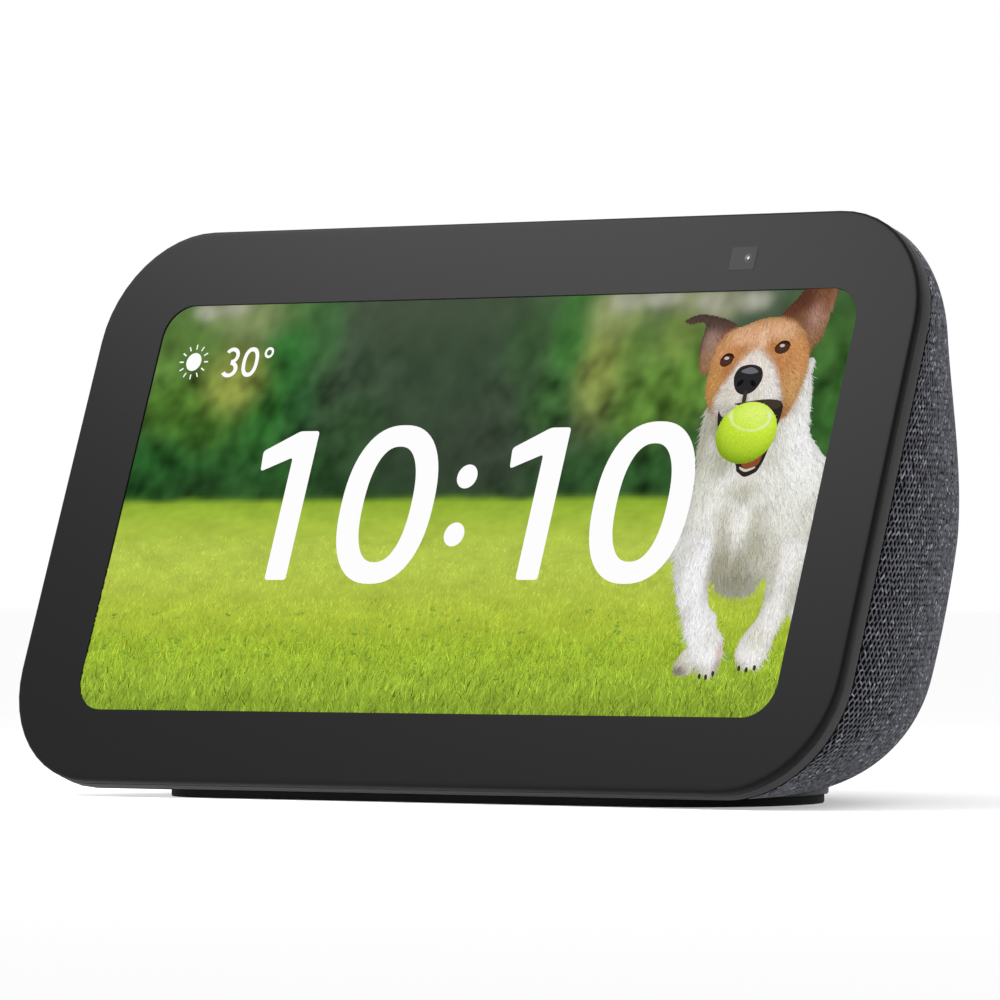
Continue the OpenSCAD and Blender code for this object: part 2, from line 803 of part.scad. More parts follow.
module camera_flex() {
  color("#b0722c") on_slope() ribbon(
    [
      [6.2, camera_v + 1], [6.2, camera_v - 3], [8.5, 72],
      [main_back + 0.6, 66], [main_back + 0.75, 61.8], [main_back + 0.75, 60]
    ],
    camera_x - 2, 4
  );
}

module key_flex() {
  start_z = top_board_high - board_t - 0.15;
  color("#b0722c") on_table() ribbon(
    [
      [strip_y + 2, start_z], [strip_y - 1, start_z], [strip_y - 2.4, start_z - 1.4],
      [strip_y - 4.6, start_z - 8], [32.3, 56.5], [31.6, 54.5]
    ],
    -1, 6
  );
}

// ---- speaker ---------------------------------------------------------------

enclosure_d = 50;
enclosure_wall = 2;
enclosure_back = speaker_y - speaker_depth - 8;
rim_inner_d = speaker_d - 7;
coil_d = 11;
plate_d = 24;

// Turns a profile of [radius, depth behind the speaker's front] points about the speaker's axis
module turned(points) {
  translate([0, speaker_y, speaker_z]) rotate([90, 0, 0]) rotate_extrude() polygon(points);
}

module tube(outer, inner, front, back) {
  turned([[inner / 2, front], [outer / 2, front], [outer / 2, back], [inner / 2, back]]);
}

module disc(d, front, back) {
  turned([[0, front], [d / 2, front], [d / 2, back], [0, back]]);
}

module speaker_enclosure() {
  lip = 2.3;
  floor = speaker_depth + 6;
  mouth_r = speaker_d / 2 - 2;
  color("#3b3c3e") on_table() difference() {
    union() {
      turned([
        [mouth_r, lip], [enclosure_d / 2, lip], [enclosure_d / 2, floor + 2], [0, floor + 2],
        [0, floor], [enclosure_d / 2 - enclosure_wall, floor],
        [enclosure_d / 2 - enclosure_wall, lip + ear_t], [mouth_r, lip + ear_t]
      ]);
      for (s = speaker_spots) translate([s[0], ear_front - ear_t, speaker_z + s[1]]) {
        rod_y(speaker_boss_d, 0, ear_t);
        rotate([0, atan2(s[0], s[1]), 0])
          block([-speaker_boss_d / 2 + 0.3, 0.1, -7], [speaker_boss_d - 0.6, ear_t - 0.2, 7]);
      }
    }
    for (s = speaker_spots)
      translate([s[0], 0, speaker_z + s[1]]) rod_y(screw_hole_d, ear_front - ear_t - 1, 4);
  }
}

module speaker_screws() {
  color("#8f9296") on_table() for (s = speaker_spots)
    translate([s[0], ear_front - ear_t, speaker_z + s[1]]) screw(4.2);
}

module speaker_gasket() {
  color("#101010") on_table() tube(speaker_d, speaker_d - 4, 1.5, 2.3);
}

module speaker_basket() {
  r0 = rim_inner_d / 2;
  color("#5a5c5f") on_table() difference() {
    turned([
      [r0, 0], [speaker_d / 2, 0], [speaker_d / 2, 1.5], [r0 + 0.8, 1.5], [plate_d / 2 + 1, 12],
      [plate_d / 2 + 1, 13], [coil_d / 2 + 1.2, 13], [coil_d / 2 + 1.2, 12], [plate_d / 2, 12],
      [r0 - 0.2, 1.5]
    ]);
    for (turn = [0:60:300]) translate([0, speaker_y - 11, speaker_z]) rotate([0, turn, 0])
      block([-3.5, 0, plate_d / 2 - 2], [7, 7.5, 12]);
  }
}

module speaker_top_plate() {
  color("#9ea1a5") on_table() tube(plate_d, coil_d + 0.3, 13, 15);
}

module speaker_magnet() {
  color("#2f2f31") on_table() tube(plate_d + 2, coil_d + 3, 15, 18.5);
}

module speaker_back_plate() {
  color("#9ea1a5") on_table() {
    disc(plate_d, 18.5, speaker_depth);
    disc(coil_d - 1.1, 13, 18.6);
  }
}

module speaker_voice_coil() {
  color("#b06a2c") on_table() tube(coil_d, coil_d - 0.8, 8.6, 16.6);
}

module speaker_cone() {
  throat = coil_d / 2 + 0.02;
  color("#232427") on_table() turned([[throat, 9.4], [throat + 0.6, 9.4], [15.6, 1.9], [15.6, 1.3],
    [15, 1.3], [throat, 8.7]]);
}

module speaker_dust_cap() {
  color("#1a1a1c") on_table() intersection() {
    translate([0, speaker_y - 16.4, speaker_z]) difference() {
      sphere(r = 10.4);
      sphere(r = 9.9);
    }
    translate([0, speaker_y, speaker_z]) rotate([90, 0, 0]) cylinder(d = coil_d - 1, h = 8.5);
  }
}

module speaker_surround() {
  roll_r = (rim_inner_d / 2 - 15.7) / 2 - 0.1;
  middle = 15.7 + roll_r;
  color("#151516") on_table() translate([0, speaker_y - 1.4, speaker_z]) rotate([-90, 0, 0])
    rotate_extrude() translate([middle, 0]) intersection() {
      difference() {
        circle(r = roll_r);
        circle(r = roll_r - 0.35);
      }
      translate([-roll_r, 0]) square([2 * roll_r, roll_r]);
    }
}

module speaker_spider() {
  waves = 3;
  inner = coil_d / 2 + 0.05;
  pitch = (plate_d / 2 - 0.3 - inner) / waves / 2;
  crest = function (k) k % 2 == 0 ? 10.6 : 11.2;
  color("#c2a873") on_table() turned(concat(
    [for (k = [0:2 * waves]) [inner + k * pitch, crest(k)]],
    [for (k = [2 * waves:-1:0]) [inner + k * pitch, crest(k) + 0.3]]
  ));
}

module speaker_grille() {
  color("#1b1b1c") on_table() difference() {
    disc(speaker_d + 1, -1.9, -1.1);
    grille_holes(speaker_y - 1, 4);
  }
}

speaker_route = [
  [8, enclosure_back - 0.4, 30], [9.5, 40.5, 28.6], [12, 36, 26.4], [15, 31, 24],
  [17, 26, 22.2], [17.4, 21.4, 21.2]
];
inlet_route = [
  [inlet_x - 0.9, jack_front - jack_len - 0.3, inlet_z],
  [-33, 50, 16.4], [-35.5, 42, 14.6], [-38, 33, 13.6], [-39.6, 25, 15], [-40, 20.1, 17.2]
];

module wires(route, colours, gap) {
  for (k = [0, 1])
    color(colours[k]) on_table() translate([k * gap, 0, 0]) wire(route, 1.1);
}

module speaker_wires() { wires(speaker_route, ["#b52a24", "#1a1a1a"], 1.6); }

// ---- power inlet -----------------------------------------------------------

module inlet_bezel() {
  color("#29292b") on_table() difference() {
    intersection() {
      translate([inlet_x, 0, inlet_z]) rod_y(bezel_d, jack_front, 30);
      translate([0, 0.2, 0]) body_solid(0);
    }
    translate([inlet_x, 0, inlet_z]) {
      rod_y(boot_d, inlet_floor_y, 30);
      rod_y(nose_d + 0.2, jack_front - 1, 20);
    }
  }
}

module inlet_jack() {
  color("#111112") on_table() translate([inlet_x, 0, inlet_z]) difference() {
    union() {
      block([-jack_w / 2, jack_front - jack_len, -jack_w / 2], [jack_w, jack_len, jack_w]);
      rod_y(nose_d, jack_front - 1, bezel_floor_t + 1);
    }
    rod_y(barrel_d, inlet_floor_y - barrel_depth, barrel_depth + 5);
  }
}

module inlet_pin() {
  color("#d8d3c3") on_table() translate([inlet_x, 0, inlet_z])
    rod_y(pin_d, inlet_floor_y - barrel_depth, barrel_depth - 0.6);
}

module inlet_wires() { wires(inlet_route, ["#b52a24", "#1a1a1a"], 1.8); }

front_glass();
glass_adhesive();
front_frame();
lcd_panel();
backlight();
display_bracket();
bracket_screws();
rear_shell();
shell_screws();
fabric_cover();
base_plate();
rubber_foot();
top_strip();
mute_key();
volume_down_key();
volume_up_key();
key_switches();
top_board();
microphones();
microphone_gaskets();
camera_module();
camera_lens();
camera_bracket();
shutter_blade();
shutter_knob();
light_sensor();
main_board();
board_screws();
shield_cans();
memory_chips();
board_connectors();
wireless_module();
thermal_pad();
heat_spreader();
antennas();
display_flex();
camera_flex();
key_flex();
speaker_enclosure();
speaker_grille();
speaker_basket();
speaker_magnet();
speaker_top_plate();
speaker_back_plate();
speaker_spider();
speaker_cone();
speaker_dust_cap();
speaker_voice_coil();
speaker_surround();
speaker_gasket();
speaker_screws();
speaker_wires();
inlet_jack();
inlet_pin();
inlet_bezel();
inlet_wires();
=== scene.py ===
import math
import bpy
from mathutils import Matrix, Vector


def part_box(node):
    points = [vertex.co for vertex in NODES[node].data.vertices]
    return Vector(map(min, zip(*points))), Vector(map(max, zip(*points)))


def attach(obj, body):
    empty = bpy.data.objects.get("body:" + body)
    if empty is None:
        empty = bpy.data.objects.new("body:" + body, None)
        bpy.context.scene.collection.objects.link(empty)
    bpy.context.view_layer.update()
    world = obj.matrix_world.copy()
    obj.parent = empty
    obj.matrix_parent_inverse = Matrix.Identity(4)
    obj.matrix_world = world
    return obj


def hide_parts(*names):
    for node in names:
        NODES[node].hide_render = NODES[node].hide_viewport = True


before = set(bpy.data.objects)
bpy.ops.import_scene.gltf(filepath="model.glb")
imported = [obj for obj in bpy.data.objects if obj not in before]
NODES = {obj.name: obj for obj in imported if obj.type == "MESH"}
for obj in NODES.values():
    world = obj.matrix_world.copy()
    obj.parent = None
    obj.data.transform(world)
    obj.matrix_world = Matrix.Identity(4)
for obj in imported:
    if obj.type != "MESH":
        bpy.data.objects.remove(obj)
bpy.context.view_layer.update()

# The looks of a table-top smart display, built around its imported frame. Numbers are in mm unless a
# comment says otherwise, and MM turns them to metres.

from types import SimpleNamespace

import bpy
import numpy as np
from mathutils import Vector, noise

bl_info = {
    "name": "Smart display",
    "version": (1, 0, 0),
    "blender": (4, 5, 0),
    "location": "3D View > Sidebar > Smart display",
    "description": "Builds the visible pieces and finishes of a table-top smart display",
    "category": "Object",
}

MM = 0.001


# ---- sizes and colours that a user would change -----------------------------


class DisplayGlass(bpy.types.PropertyGroup):
    """The cover glass, the camera's window and the picture behind it"""

    edge_radius: bpy.props.FloatProperty(
        name="Edge radius", description="Rounding of the glass's front edge",
        default=0.45 * MM, subtype="DISTANCE")
    picture_w: bpy.props.FloatProperty(
        name="Picture width", description="Width of the lit picture",
        default=125.0 * MM, subtype="DISTANCE")
    picture_h: bpy.props.FloatProperty(
        name="Picture height", description="Height of the lit picture",
        default=62.5 * MM, subtype="DISTANCE")
    picture_rise: bpy.props.FloatProperty(
        name="Picture rise", description="Middle of the picture above the glass's foot",
        default=42.1 * MM, subtype="DISTANCE")
    picture_side: bpy.props.FloatProperty(
        name="Picture offset", description="Middle of the picture to the right of the glass's",
        default=0.78 * MM, subtype="DISTANCE")
    picture_corner: bpy.props.FloatProperty(
        name="Picture corner", description="Corner radius of the lit picture",
        default=5.0 * MM, subtype="DISTANCE")
    window_side: bpy.props.FloatProperty(
        name="Window offset", description="Camera window and lens to the right of the frame's own lens",
        default=1.7 * MM, subtype="DISTANCE")
    border: bpy.props.StringProperty(
        name="Border", description="Colour of the printed border", default="#0c0c0d")


class DisplayBody(bpy.types.PropertyGroup):
    """The form of the wedge-shaped body and its knitted cover"""

    frame_depth: bpy.props.FloatProperty(
        name="Frame depth", description="From the glass's face to the frame's back",
        default=3.05 * MM, subtype="DISTANCE")
    corner: bpy.props.FloatProperty(
        name="Corner radius", description="Corner radius of the front's outline",
        default=17.0 * MM, subtype="DISTANCE")
    bulge_height: bpy.props.FloatProperty(
        name="Bulge height", description="Height at which the back reaches furthest",
        default=37.0 * MM, subtype="DISTANCE")
    top_depth: bpy.props.FloatProperty(
        name="Top depth", description="Depth of the flat top behind the glass's foot",
        default=48.0 * MM, subtype="DISTANCE")
    under_depth: bpy.props.FloatProperty(
        name="Underside depth", description="Depth of the flat underside",
        default=42.0 * MM, subtype="DISTANCE")
    cell_w: bpy.props.FloatProperty(
        name="Mesh width", description="Width of one hole of the knit",
        default=1.2 * MM, subtype="DISTANCE")
    cell_h: bpy.props.FloatProperty(
        name="Mesh height", description="Height of one hole of the knit",
        default=1.75 * MM, subtype="DISTANCE")
    thread: bpy.props.FloatProperty(
        name="Thread", description="Thickness of a thread bundle",
        default=0.155 * MM, subtype="DISTANCE")
    yarn: bpy.props.StringProperty(
        name="Yarn", description="Colour of the yarn", default="#66676e")


class DisplayStage(bpy.types.PropertyGroup):
    """Camera and light"""

    lens: bpy.props.FloatProperty(
        name="Lens", description="Focal length", default=292.93, subtype="DISTANCE_CAMERA")
    azimuth: bpy.props.FloatProperty(
        name="Azimuth", description="Turn of the view from straight ahead",
        default=math.radians(38.281), subtype="ANGLE")
    pitch: bpy.props.FloatProperty(
        name="Pitch", description="Upward tilt of the camera",
        default=math.radians(0.577), subtype="ANGLE")
    camera_place: bpy.props.FloatVectorProperty(
        name="Camera", description="Place of the camera",
        default=(0.714964, -0.92633, 0.030822), subtype="XYZ_LENGTH")


def in_mm(group):
    """A group's lengths in mm, to a ten-thousandth, and its colours as they are."""
    held = {key: getattr(group, key) for key in group.__annotations__}
    return SimpleNamespace(**{key: v if isinstance(v, str) else round(v / MM, 4) for key, v in held.items()})


def glass_sizes():
    return in_mm(bpy.context.scene.display_glass)


def body_sizes():
    return in_mm(bpy.context.scene.display_body)


# ---- the frame's own places -------------------------------------------------


def slope_frame():
    """The foot of the glass's face, the direction up its slope and the one out of it."""
    mesh = NODES["front_glass"].data
    face = max(mesh.polygons, key=lambda p: p.area * (p.normal.y < -0.5))
    out = face.normal.copy()
    up = out.cross(Vector((1, 0, 0)))
    plane = mesh.vertices[face.vertices[0]].co.dot(out)
    foot = min(v.co.dot(up) for v in mesh.vertices)
    return out * plane + up * foot, up, out


FOOT, UP, OUT = slope_frame()
GLASS_LOW, GLASS_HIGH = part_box("front_glass")
GLASS_W = (GLASS_HIGH.x - GLASS_LOW.x) / MM
GLASS_H = (max(v.co.dot(UP) for v in NODES["front_glass"].data.vertices) - FOOT.dot(UP)) / MM
GLASS_T = (FOOT.dot(OUT) - min(v.co.dot(OUT) for v in NODES["front_glass"].data.vertices)) / MM
BODY_LOW, BODY_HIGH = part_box("fabric_cover")


def on_glass(x, v, depth):
    """A point x across, v up the slope and depth behind the glass's face, all in mm."""
    return Vector((1, 0, 0)) * x * MM + FOOT + UP * v * MM - OUT * depth * MM


def outline_of(node, z):
    """The convex outline of a node's vertices at a height, in order round its middle."""
    level = [v.co for v in NODES[node].data.vertices if abs(v.co.z - z) < 2e-5]
    spots = {(round(place.x, 6), round(place.y, 6)) for place in level}
    middle_x = sum(p[0] for p in spots) / len(spots)
    middle_y = sum(p[1] for p in spots) / len(spots)
    return sorted(spots, key=lambda p: math.atan2(p[1] - middle_y, p[0] - middle_x))


# ---- meshes -----------------------------------------------------------------


def linear(colour):
    """An sRGB hex colour as linear red, green, blue and alpha."""
    parts = [int(colour[k:k + 2], 16) / 255 for k in (1, 3, 5)]
    return (*[c / 12.92 if c <= 0.04045 else ((c + 0.055) / 1.055) ** 2.4 for c in parts], 1.0)


def piece(name, points, faces, finish, body="housing", colours=None, smooth=True):
    """A mesh object from points in metres, with a finish, that rides on a body."""
    mesh = bpy.data.meshes.new(name)
    mesh.from_pydata(points, [], faces)
    if colours is not None:
        tint = mesh.color_attributes.new("tint", "FLOAT_COLOR", "POINT")
        tint.data.foreach_set("color", np.asarray(colours, np.float32).ravel())
    if smooth:
        mesh.shade_smooth()
        mesh.set_sharp_from_angle(angle=math.radians(40))
    mesh.materials.append(finish)
    made = bpy.data.objects.new(name, mesh)
    bpy.context.scene.collection.objects.link(made)
    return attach(made, body)


def rounded_rect(w, low, high, r, inset=0.0, steps=12):
    """Points (x, v) round a rectangle with rounded corners, anticlockwise."""
    r = max(r - inset, 0.01)
    x, bottom, top = w / 2 - inset - r, low + inset + r, high - inset - r
    points = []
    for corner, (cx, cv) in enumerate([(x, bottom), (x, top), (-x, top), (-x, bottom)]):
        for k in range(steps + 1):
            turn = math.radians(90 * (corner - 1 + k / steps))
            points.append((cx + r * math.cos(turn), cv + r * math.sin(turn)))
    return points


def loft(rings, closed=True):
    """Quads between rings of equally many points."""
    n = len(rings[0])
    last = n if closed else n - 1
    return [
        (i * n + j, i * n + (j + 1) % n, (i + 1) * n + (j + 1) % n, (i + 1) * n + j)
        for i in range(len(rings) - 1) for j in range(last)
    ]


def tube(path, radius, sides=8, closed=True):
    """Points and faces of a round tube along a path."""
    rings = []
    count = len(path)
    for k, here in enumerate(path):
        ahead = path[(k + 1) % count] if closed else path[min(k + 1, count - 1)]
        behind = path[k - 1] if closed else path[max(k - 1, 0)]
        along = (ahead - behind).normalized()
        side = along.cross(Vector((0.1, 0.2, 0.97))).normalized()
        other = along.cross(side)
        turns = [math.tau * s / sides for s in range(sides)]
        rings.append([here + radius * (side * math.cos(t) + other * math.sin(t)) for t in turns])
    faces = loft(rings + [rings[0]] if closed else rings)
    wrap = count * sides
    faces = [tuple(i % wrap for i in f) for f in faces]
    return [p for ring in rings for p in ring], faces


# ---- finishes ---------------------------------------------------------------


def add(tree, kind, inputs=(), **settings):
    """Adds a shader node, sets what it is given and joins sockets to its inputs."""
    made = tree.nodes.new(kind)
    for key, value in settings.items():
        setattr(made, key, value)
    for key, value in dict(inputs).items():
        if isinstance(value, bpy.types.NodeSocket):
            tree.links.new(value, made.inputs[key])
        else:
            made.inputs[key].default_value = value
    return made


def finish(name, colour, roughness, metallic=0.0, grain=1.0, relief=0.01, shift=0.25, **sockets):
    """A moulded, cast or rolled surface: mottled colour and a fine relief, with grain in mm."""
    made = bpy.data.materials.get(name)
    if made:
        return made
    made = bpy.data.materials.new(name)
    made.use_nodes = True
    tree = made.node_tree
    shader = tree.nodes["Principled BSDF"]
    place = add(tree, "ShaderNodeTexCoord")
    speckle = add(tree, "ShaderNodeTexNoise", {
        "Vector": place.outputs["Object"], "Scale": 1 / (grain * MM), "Detail": 4.0, "Roughness": 0.6})
    base = linear(colour)
    dark = (*[c * (1 - shift) for c in base[:3]], 1)
    light = (*[min(1, c * (1 + shift)) for c in base[:3]], 1)
    mottle = add(tree, "ShaderNodeMix", {
        "Factor": speckle.outputs["Fac"], "A": dark, "B": light}, data_type="RGBA")
    bump = add(tree, "ShaderNodeBump", {
        "Height": speckle.outputs["Fac"], "Strength": 0.5, "Distance": relief * MM})
    tree.links.new(mottle.outputs["Result"], shader.inputs["Base Color"])
    tree.links.new(bump.outputs["Normal"], shader.inputs["Normal"])
    shader.inputs["Roughness"].default_value = roughness
    shader.inputs["Metallic"].default_value = metallic
    for key, value in sockets.items():
        shader.inputs[key.replace("_", " ")].default_value = value
    return made


def knitted_polyester():
    """Warp-knitted polyester: grey yarn bundles times a painted tint: painted shade on their flanks, painted
    highlights on their ridges and on some whole bundles.
    """
    made = bpy.data.materials.get("knitted_polyester")
    if made:
        return made
    made = finish("knitted_polyester", body_sizes().yarn, 0.72, grain=0.12, relief=0.04, shift=0.3)
    tree = made.node_tree
    shader = tree.nodes["Principled BSDF"]
    mottle = shader.inputs["Base Color"].links[0].from_socket
    # the tint attribute carries the painted shade and painted highlights of each bundle
    tint = add(tree, "ShaderNodeAttribute", attribute_name="tint")
    shade = add(tree, "ShaderNodeMix", {
        "Factor": 1.0, "A": mottle, "B": tint.outputs["Color"]}, data_type="RGBA", blend_type="MULTIPLY")
    tree.links.new(shade.outputs["Result"], shader.inputs["Base Color"])
    shader.inputs["Sheen Weight"].default_value = 0.08
    shader.inputs["Specular IOR Level"].default_value = 0.2
    shader.inputs["Sheen Roughness"].default_value = 0.4
    return made


def lit_picture():
    """A liquid-crystal picture with its backlight on: it gives its own light."""
    made = bpy.data.materials.get("lit_picture")
    if made:
        return made
    made = bpy.data.materials.new("lit_picture")
    made.use_nodes = True
    tree = made.node_tree
    shader = tree.nodes["Principled BSDF"]
    tint = add(tree, "ShaderNodeAttribute", attribute_name="tint")
    tree.links.new(tint.outputs["Color"], shader.inputs["Emission Color"])
    shader.inputs["Emission Strength"].default_value = 1.0
    shader.inputs["Base Color"].default_value = (0, 0, 0, 1)
    shader.inputs["Roughness"].default_value = 0.3
    shader.inputs["Specular IOR Level"].default_value = 0.0
    return made


# ---- glass, window and picture ----------------------------------------------


class BuildGlass(bpy.types.Operator):
    """Cover glass: a rounded sheet with a printed border, open where the picture shows"""

    bl_idname = "display.build_glass"
    bl_label = "Cover glass"

    def execute(self, context):
        sizes = glass_sizes()
        r = body_sizes().corner
        edge = sizes.edge_radius
        low = sizes.picture_rise - sizes.picture_h / 2
        high = sizes.picture_rise + sizes.picture_h / 2
        rings = []
        for inset, depth in ((0, 0.35), (0, 0.04), (-0.04, 0)):
            rings.append([on_glass(sizes.picture_side + x, v, depth) for x, v in rounded_rect(
                sizes.picture_w, low, high, sizes.picture_corner, inset)])
        profile = [(edge + 0.5, 0.0)]
        profile += [(edge * (1 - math.sin(t)), edge * (1 - math.cos(t)))
                    for t in [math.radians(15 * k) for k in range(7)]]
        profile += [(0.0, GLASS_T - 0.15), (0.04, GLASS_T - 0.04), (0.15, GLASS_T), (1.5, GLASS_T)]
        for inset, depth in profile:
            rings.append([on_glass(x, v, depth) for x, v in rounded_rect(GLASS_W, 0, GLASS_H, r, inset)])
        points = [p for ring in rings for p in ring]
        # printed glass: black ink seen through a satin-etched sheet, a soft charcoal
        ink = finish("printed_etched_glass", sizes.border, 0.5, grain=0.5, relief=0.0008, shift=0.04,
                     Specular_IOR_Level=0.08)
        glass = piece("cover_glass", points, loft(rings), ink)
        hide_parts("front_glass")
        return {"FINISHED"}


class BuildWindow(bpy.types.Operator):
    """Camera window: a clear patch in the print, with the lens behind it"""

    bl_idname = "display.build_window"
    bl_label = "Camera window"

    def execute(self, context):
        low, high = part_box("camera_lens")
        lens_x = (low.x + high.x) / 2 / MM
        lens_v = ((low + high) / 2 - FOOT).dot(UP) / MM
        lens_x += glass_sizes().window_side
        half_h, left, right = 1.75, -3.2, 1.3
        outline = soften([(left, -half_h), (right, -half_h), (right, half_h), (left, half_h)], 0.35)
        # unprinted glass: a shade lighter than the ink beside it, as the dark housing shows through
        clear = finish("clear_window", "#1d1d1e", 0.5, grain=0.6, relief=0.0005, shift=0.06,
                       Specular_IOR_Level=0.08)
        patch = piece("camera_window", [on_glass(lens_x + x, lens_v + v, -0.012) for x, v in outline],
                      [tuple(range(len(outline)))], clear, smooth=False)
        # the cut edge of the print: a thin tube in a lighter grey, a painted highlight along the edge
        edge = finish("window_edge_painted_highlight", "#2b2b2d", 0.5, grain=0.6, relief=0.0005, shift=0.06,
                      Specular_IOR_Level=0.1)
        path = [on_glass(lens_x + x, lens_v + v, 0) for x, v in outline]
        points, faces = tube(path, 0.05 * MM, 6)
        piece("camera_window_edge", points, faces, edge)
        # coated lens: a near-black barrel and glass, and a grey disc on it that is a painted glint of its
        # front element
        rings = []
        for radius, depth in ((0.6, -0.02), (0.5, -0.02), (0.48, -0.05), (0.36, -0.08), (0.12, -0.1)):
            turns = [math.tau * k / 32 for k in range(32)]
            rings.append([on_glass(lens_x + radius * math.cos(t), lens_v + radius * math.sin(t), depth)
                          for t in turns])
        faces = loft(rings) + [tuple(range(4 * 32, 5 * 32))]
        coated = finish("coated_lens", "#0b0b0d", 0.4, grain=0.4, relief=0.0005, shift=0.2,
                        Specular_IOR_Level=0.2)
        piece("camera_eye", [p for ring in rings for p in ring], faces, coated)
        # painted glint: a flat pale grey disc for the light off the front element
        glint = finish("painted_lens_glint", "#7b7d82", 0.5, grain=0.3, relief=0.0005, shift=0.1)
        spot = [on_glass(lens_x + 0.1 + 0.2 * math.cos(t), lens_v - 0.05 + 0.24 * math.sin(t), -0.12)
                for t in [math.tau * k / 24 for k in range(24)]]
        piece("camera_glint", spot, [tuple(range(24))], glint, smooth=False)
        return {"FINISHED"}


# ---- paint: soft colours over the picture -----------------------------------

# How far each layer of the picture lies behind the glass's face, so that nearer ones cover farther ones
GARDEN_DEPTH = 0.33
GRASS_DEPTHS = (0.27, 0.17)
WEED_DEPTH = 0.19
DOG_DEPTH = 0.13
FUR_DEPTH = 0.125
TUFT_DEPTH = 0.108
CLOCK_DEPTH = 0.1
BALL_DEPTH = 0.07
FELT_DEPTH = 0.062


def rgb(colour):
    return np.array(linear(colour)[:3])


def blend_spots(x, y, spots, ground=None, strength=0.25):
    """Colours of soft round spots (x, y, wide, high, colour), mixed by nearness over a ground colour."""
    total = np.full(x.shape, strength if ground is not None else 1e-6)
    colour = (ground if ground is not None else np.zeros((*x.shape, 3))) * total[:, None]
    for sx, sy, wide, high, name in spots:
        weight = np.exp(-((x - sx) / wide) ** 2 - ((y - sy) / high) ** 2)
        total = total + weight
        colour = colour + weight[:, None] * rgb(name)
    return colour / total[:, None]


def ramp(y, stops):
    """Colours along a height from (height, colour) stops in rising order."""
    heights = [s[0] for s in stops]
    shades = np.array([rgb(s[1]) for s in stops])
    return np.stack([np.interp(y, heights, shades[:, k]) for k in range(3)], axis=1)


def cloud(x, y, size, seed):
    """Smooth noise between -1 and 1 with features of a size in mm."""
    place = np.random.default_rng(seed).uniform(0, 50, 3)
    return np.array([noise.noise((a / size + place[0], b / size + place[1], place[2]))
                     for a, b in zip(x, y)])


def garden(x, y):
    """A blurred hedge over a sunlit lawn."""
    hedge = ramp(y, [(0, "#2c4a24"), (4, "#294526"), (12, "#3a4f37"), (20, "#43533f"), (31, "#4f5f49")])
    hedge = blend_spots(x, y, [
        (-47, 19, 5, 4, "#8c9443"), (-60, 24, 8, 5, "#5b7d38"), (-45, 29.5, 7, 2.6, "#7f8f5c"),
        (-57, 16, 6, 4, "#466f24"), (-50, 12, 5, 3, "#3f6a26"), (-38, 24, 3.6, 8, "#2b6b2b"),
        (-40, 13, 4, 4, "#2f6a2a"), (-32, 27, 3, 5, "#3f6b3b"), (-34, 16, 3, 4, "#28512a"),
        (-10, 20, 16, 9, "#394a37"), (-14, 29, 13, 3.4, "#45523f"), (-22, 12, 5, 4, "#33502f"),
        (4, 10, 13, 6, "#384236"), (7, 24, 4, 5, "#3d5b35"), (13.5, 25, 3, 6, "#3c7431"),
        (12, 14, 4, 4, "#3c6a30"), (20, 28, 4, 2.6, "#8d9a63"), (20, 20, 3.4, 6, "#848f47"),
        (25, 22, 3, 4, "#5f7f3a"), (29, 15, 5, 5, "#5c8232"), (33, 25, 3, 4, "#6f8640"),
        (36, 18, 4, 5, "#587e30"), (36, 29.6, 4, 1.8, "#9c9c80"), (60, 15, 5, 9, "#356129"),
        (59, 24, 4, 5, "#42682f"), (-60, 6, 8, 4, "#245424"), (-40, 7, 9, 4, "#2b5728"),
        (-48, 3.4, 12, 1.6, "#213d1e"), (30, 6, 10, 4, "#2d5229"), (18, 5, 6, 2, "#2b4a27"),
        (60, 29, 5, 3, "#3c5c33"),
    ], hedge, 0.1)
    gaps = [(-55, 30.4, 1.8, 1.1, "#b0af9e"), (-50, 30.8, 2.2, 1.0, "#a8a795"),
            (22, 30.3, 2.2, 1.2, "#b0af9e"), (28, 30.6, 2.4, 1.0, "#b4b3a4"),
            (37, 29.7, 1.6, 1.0, "#b0af9e"), (44.5, 29.8, 2.0, 1.1, "#aead9f")]
    hedge = blend_spots(x, y, gaps, hedge, 0.35)
    leafy = cloud(x, y, 3.6, 1) * 0.75 + cloud(x, y, 1.5, 2) * 0.4
    blur = 1 - 0.75 * np.exp(-((x + 8) / 15) ** 2)
    hedge = hedge * (1 + leafy * np.clip((31 - y) / 12, 0.4, 1) * blur)[:, None]
    lawn = ramp(y, [(-31, "#7f9a2f"), (-27, "#8fab35"), (-22, "#95b032"), (-17, "#a4b83b"), (-12, "#adbf48"),
                    (-7, "#afc34d"), (-3, "#a5bd43"), (0.4, "#8fae34"), (1, "#6f9430")])
    lawn = lawn * (1 + cloud(x, y * 2.6, 6, 3) * 0.14 + cloud(x, y * 2.2, 1.6, 4) * 0.12)[:, None]
    edge = 0.5 + 0.5 * np.tanh((y - 0.9 + cloud(x, y * 0, 5, 5) * 0.5) / 0.45)
    return lawn + (hedge - lawn) * edge[:, None]


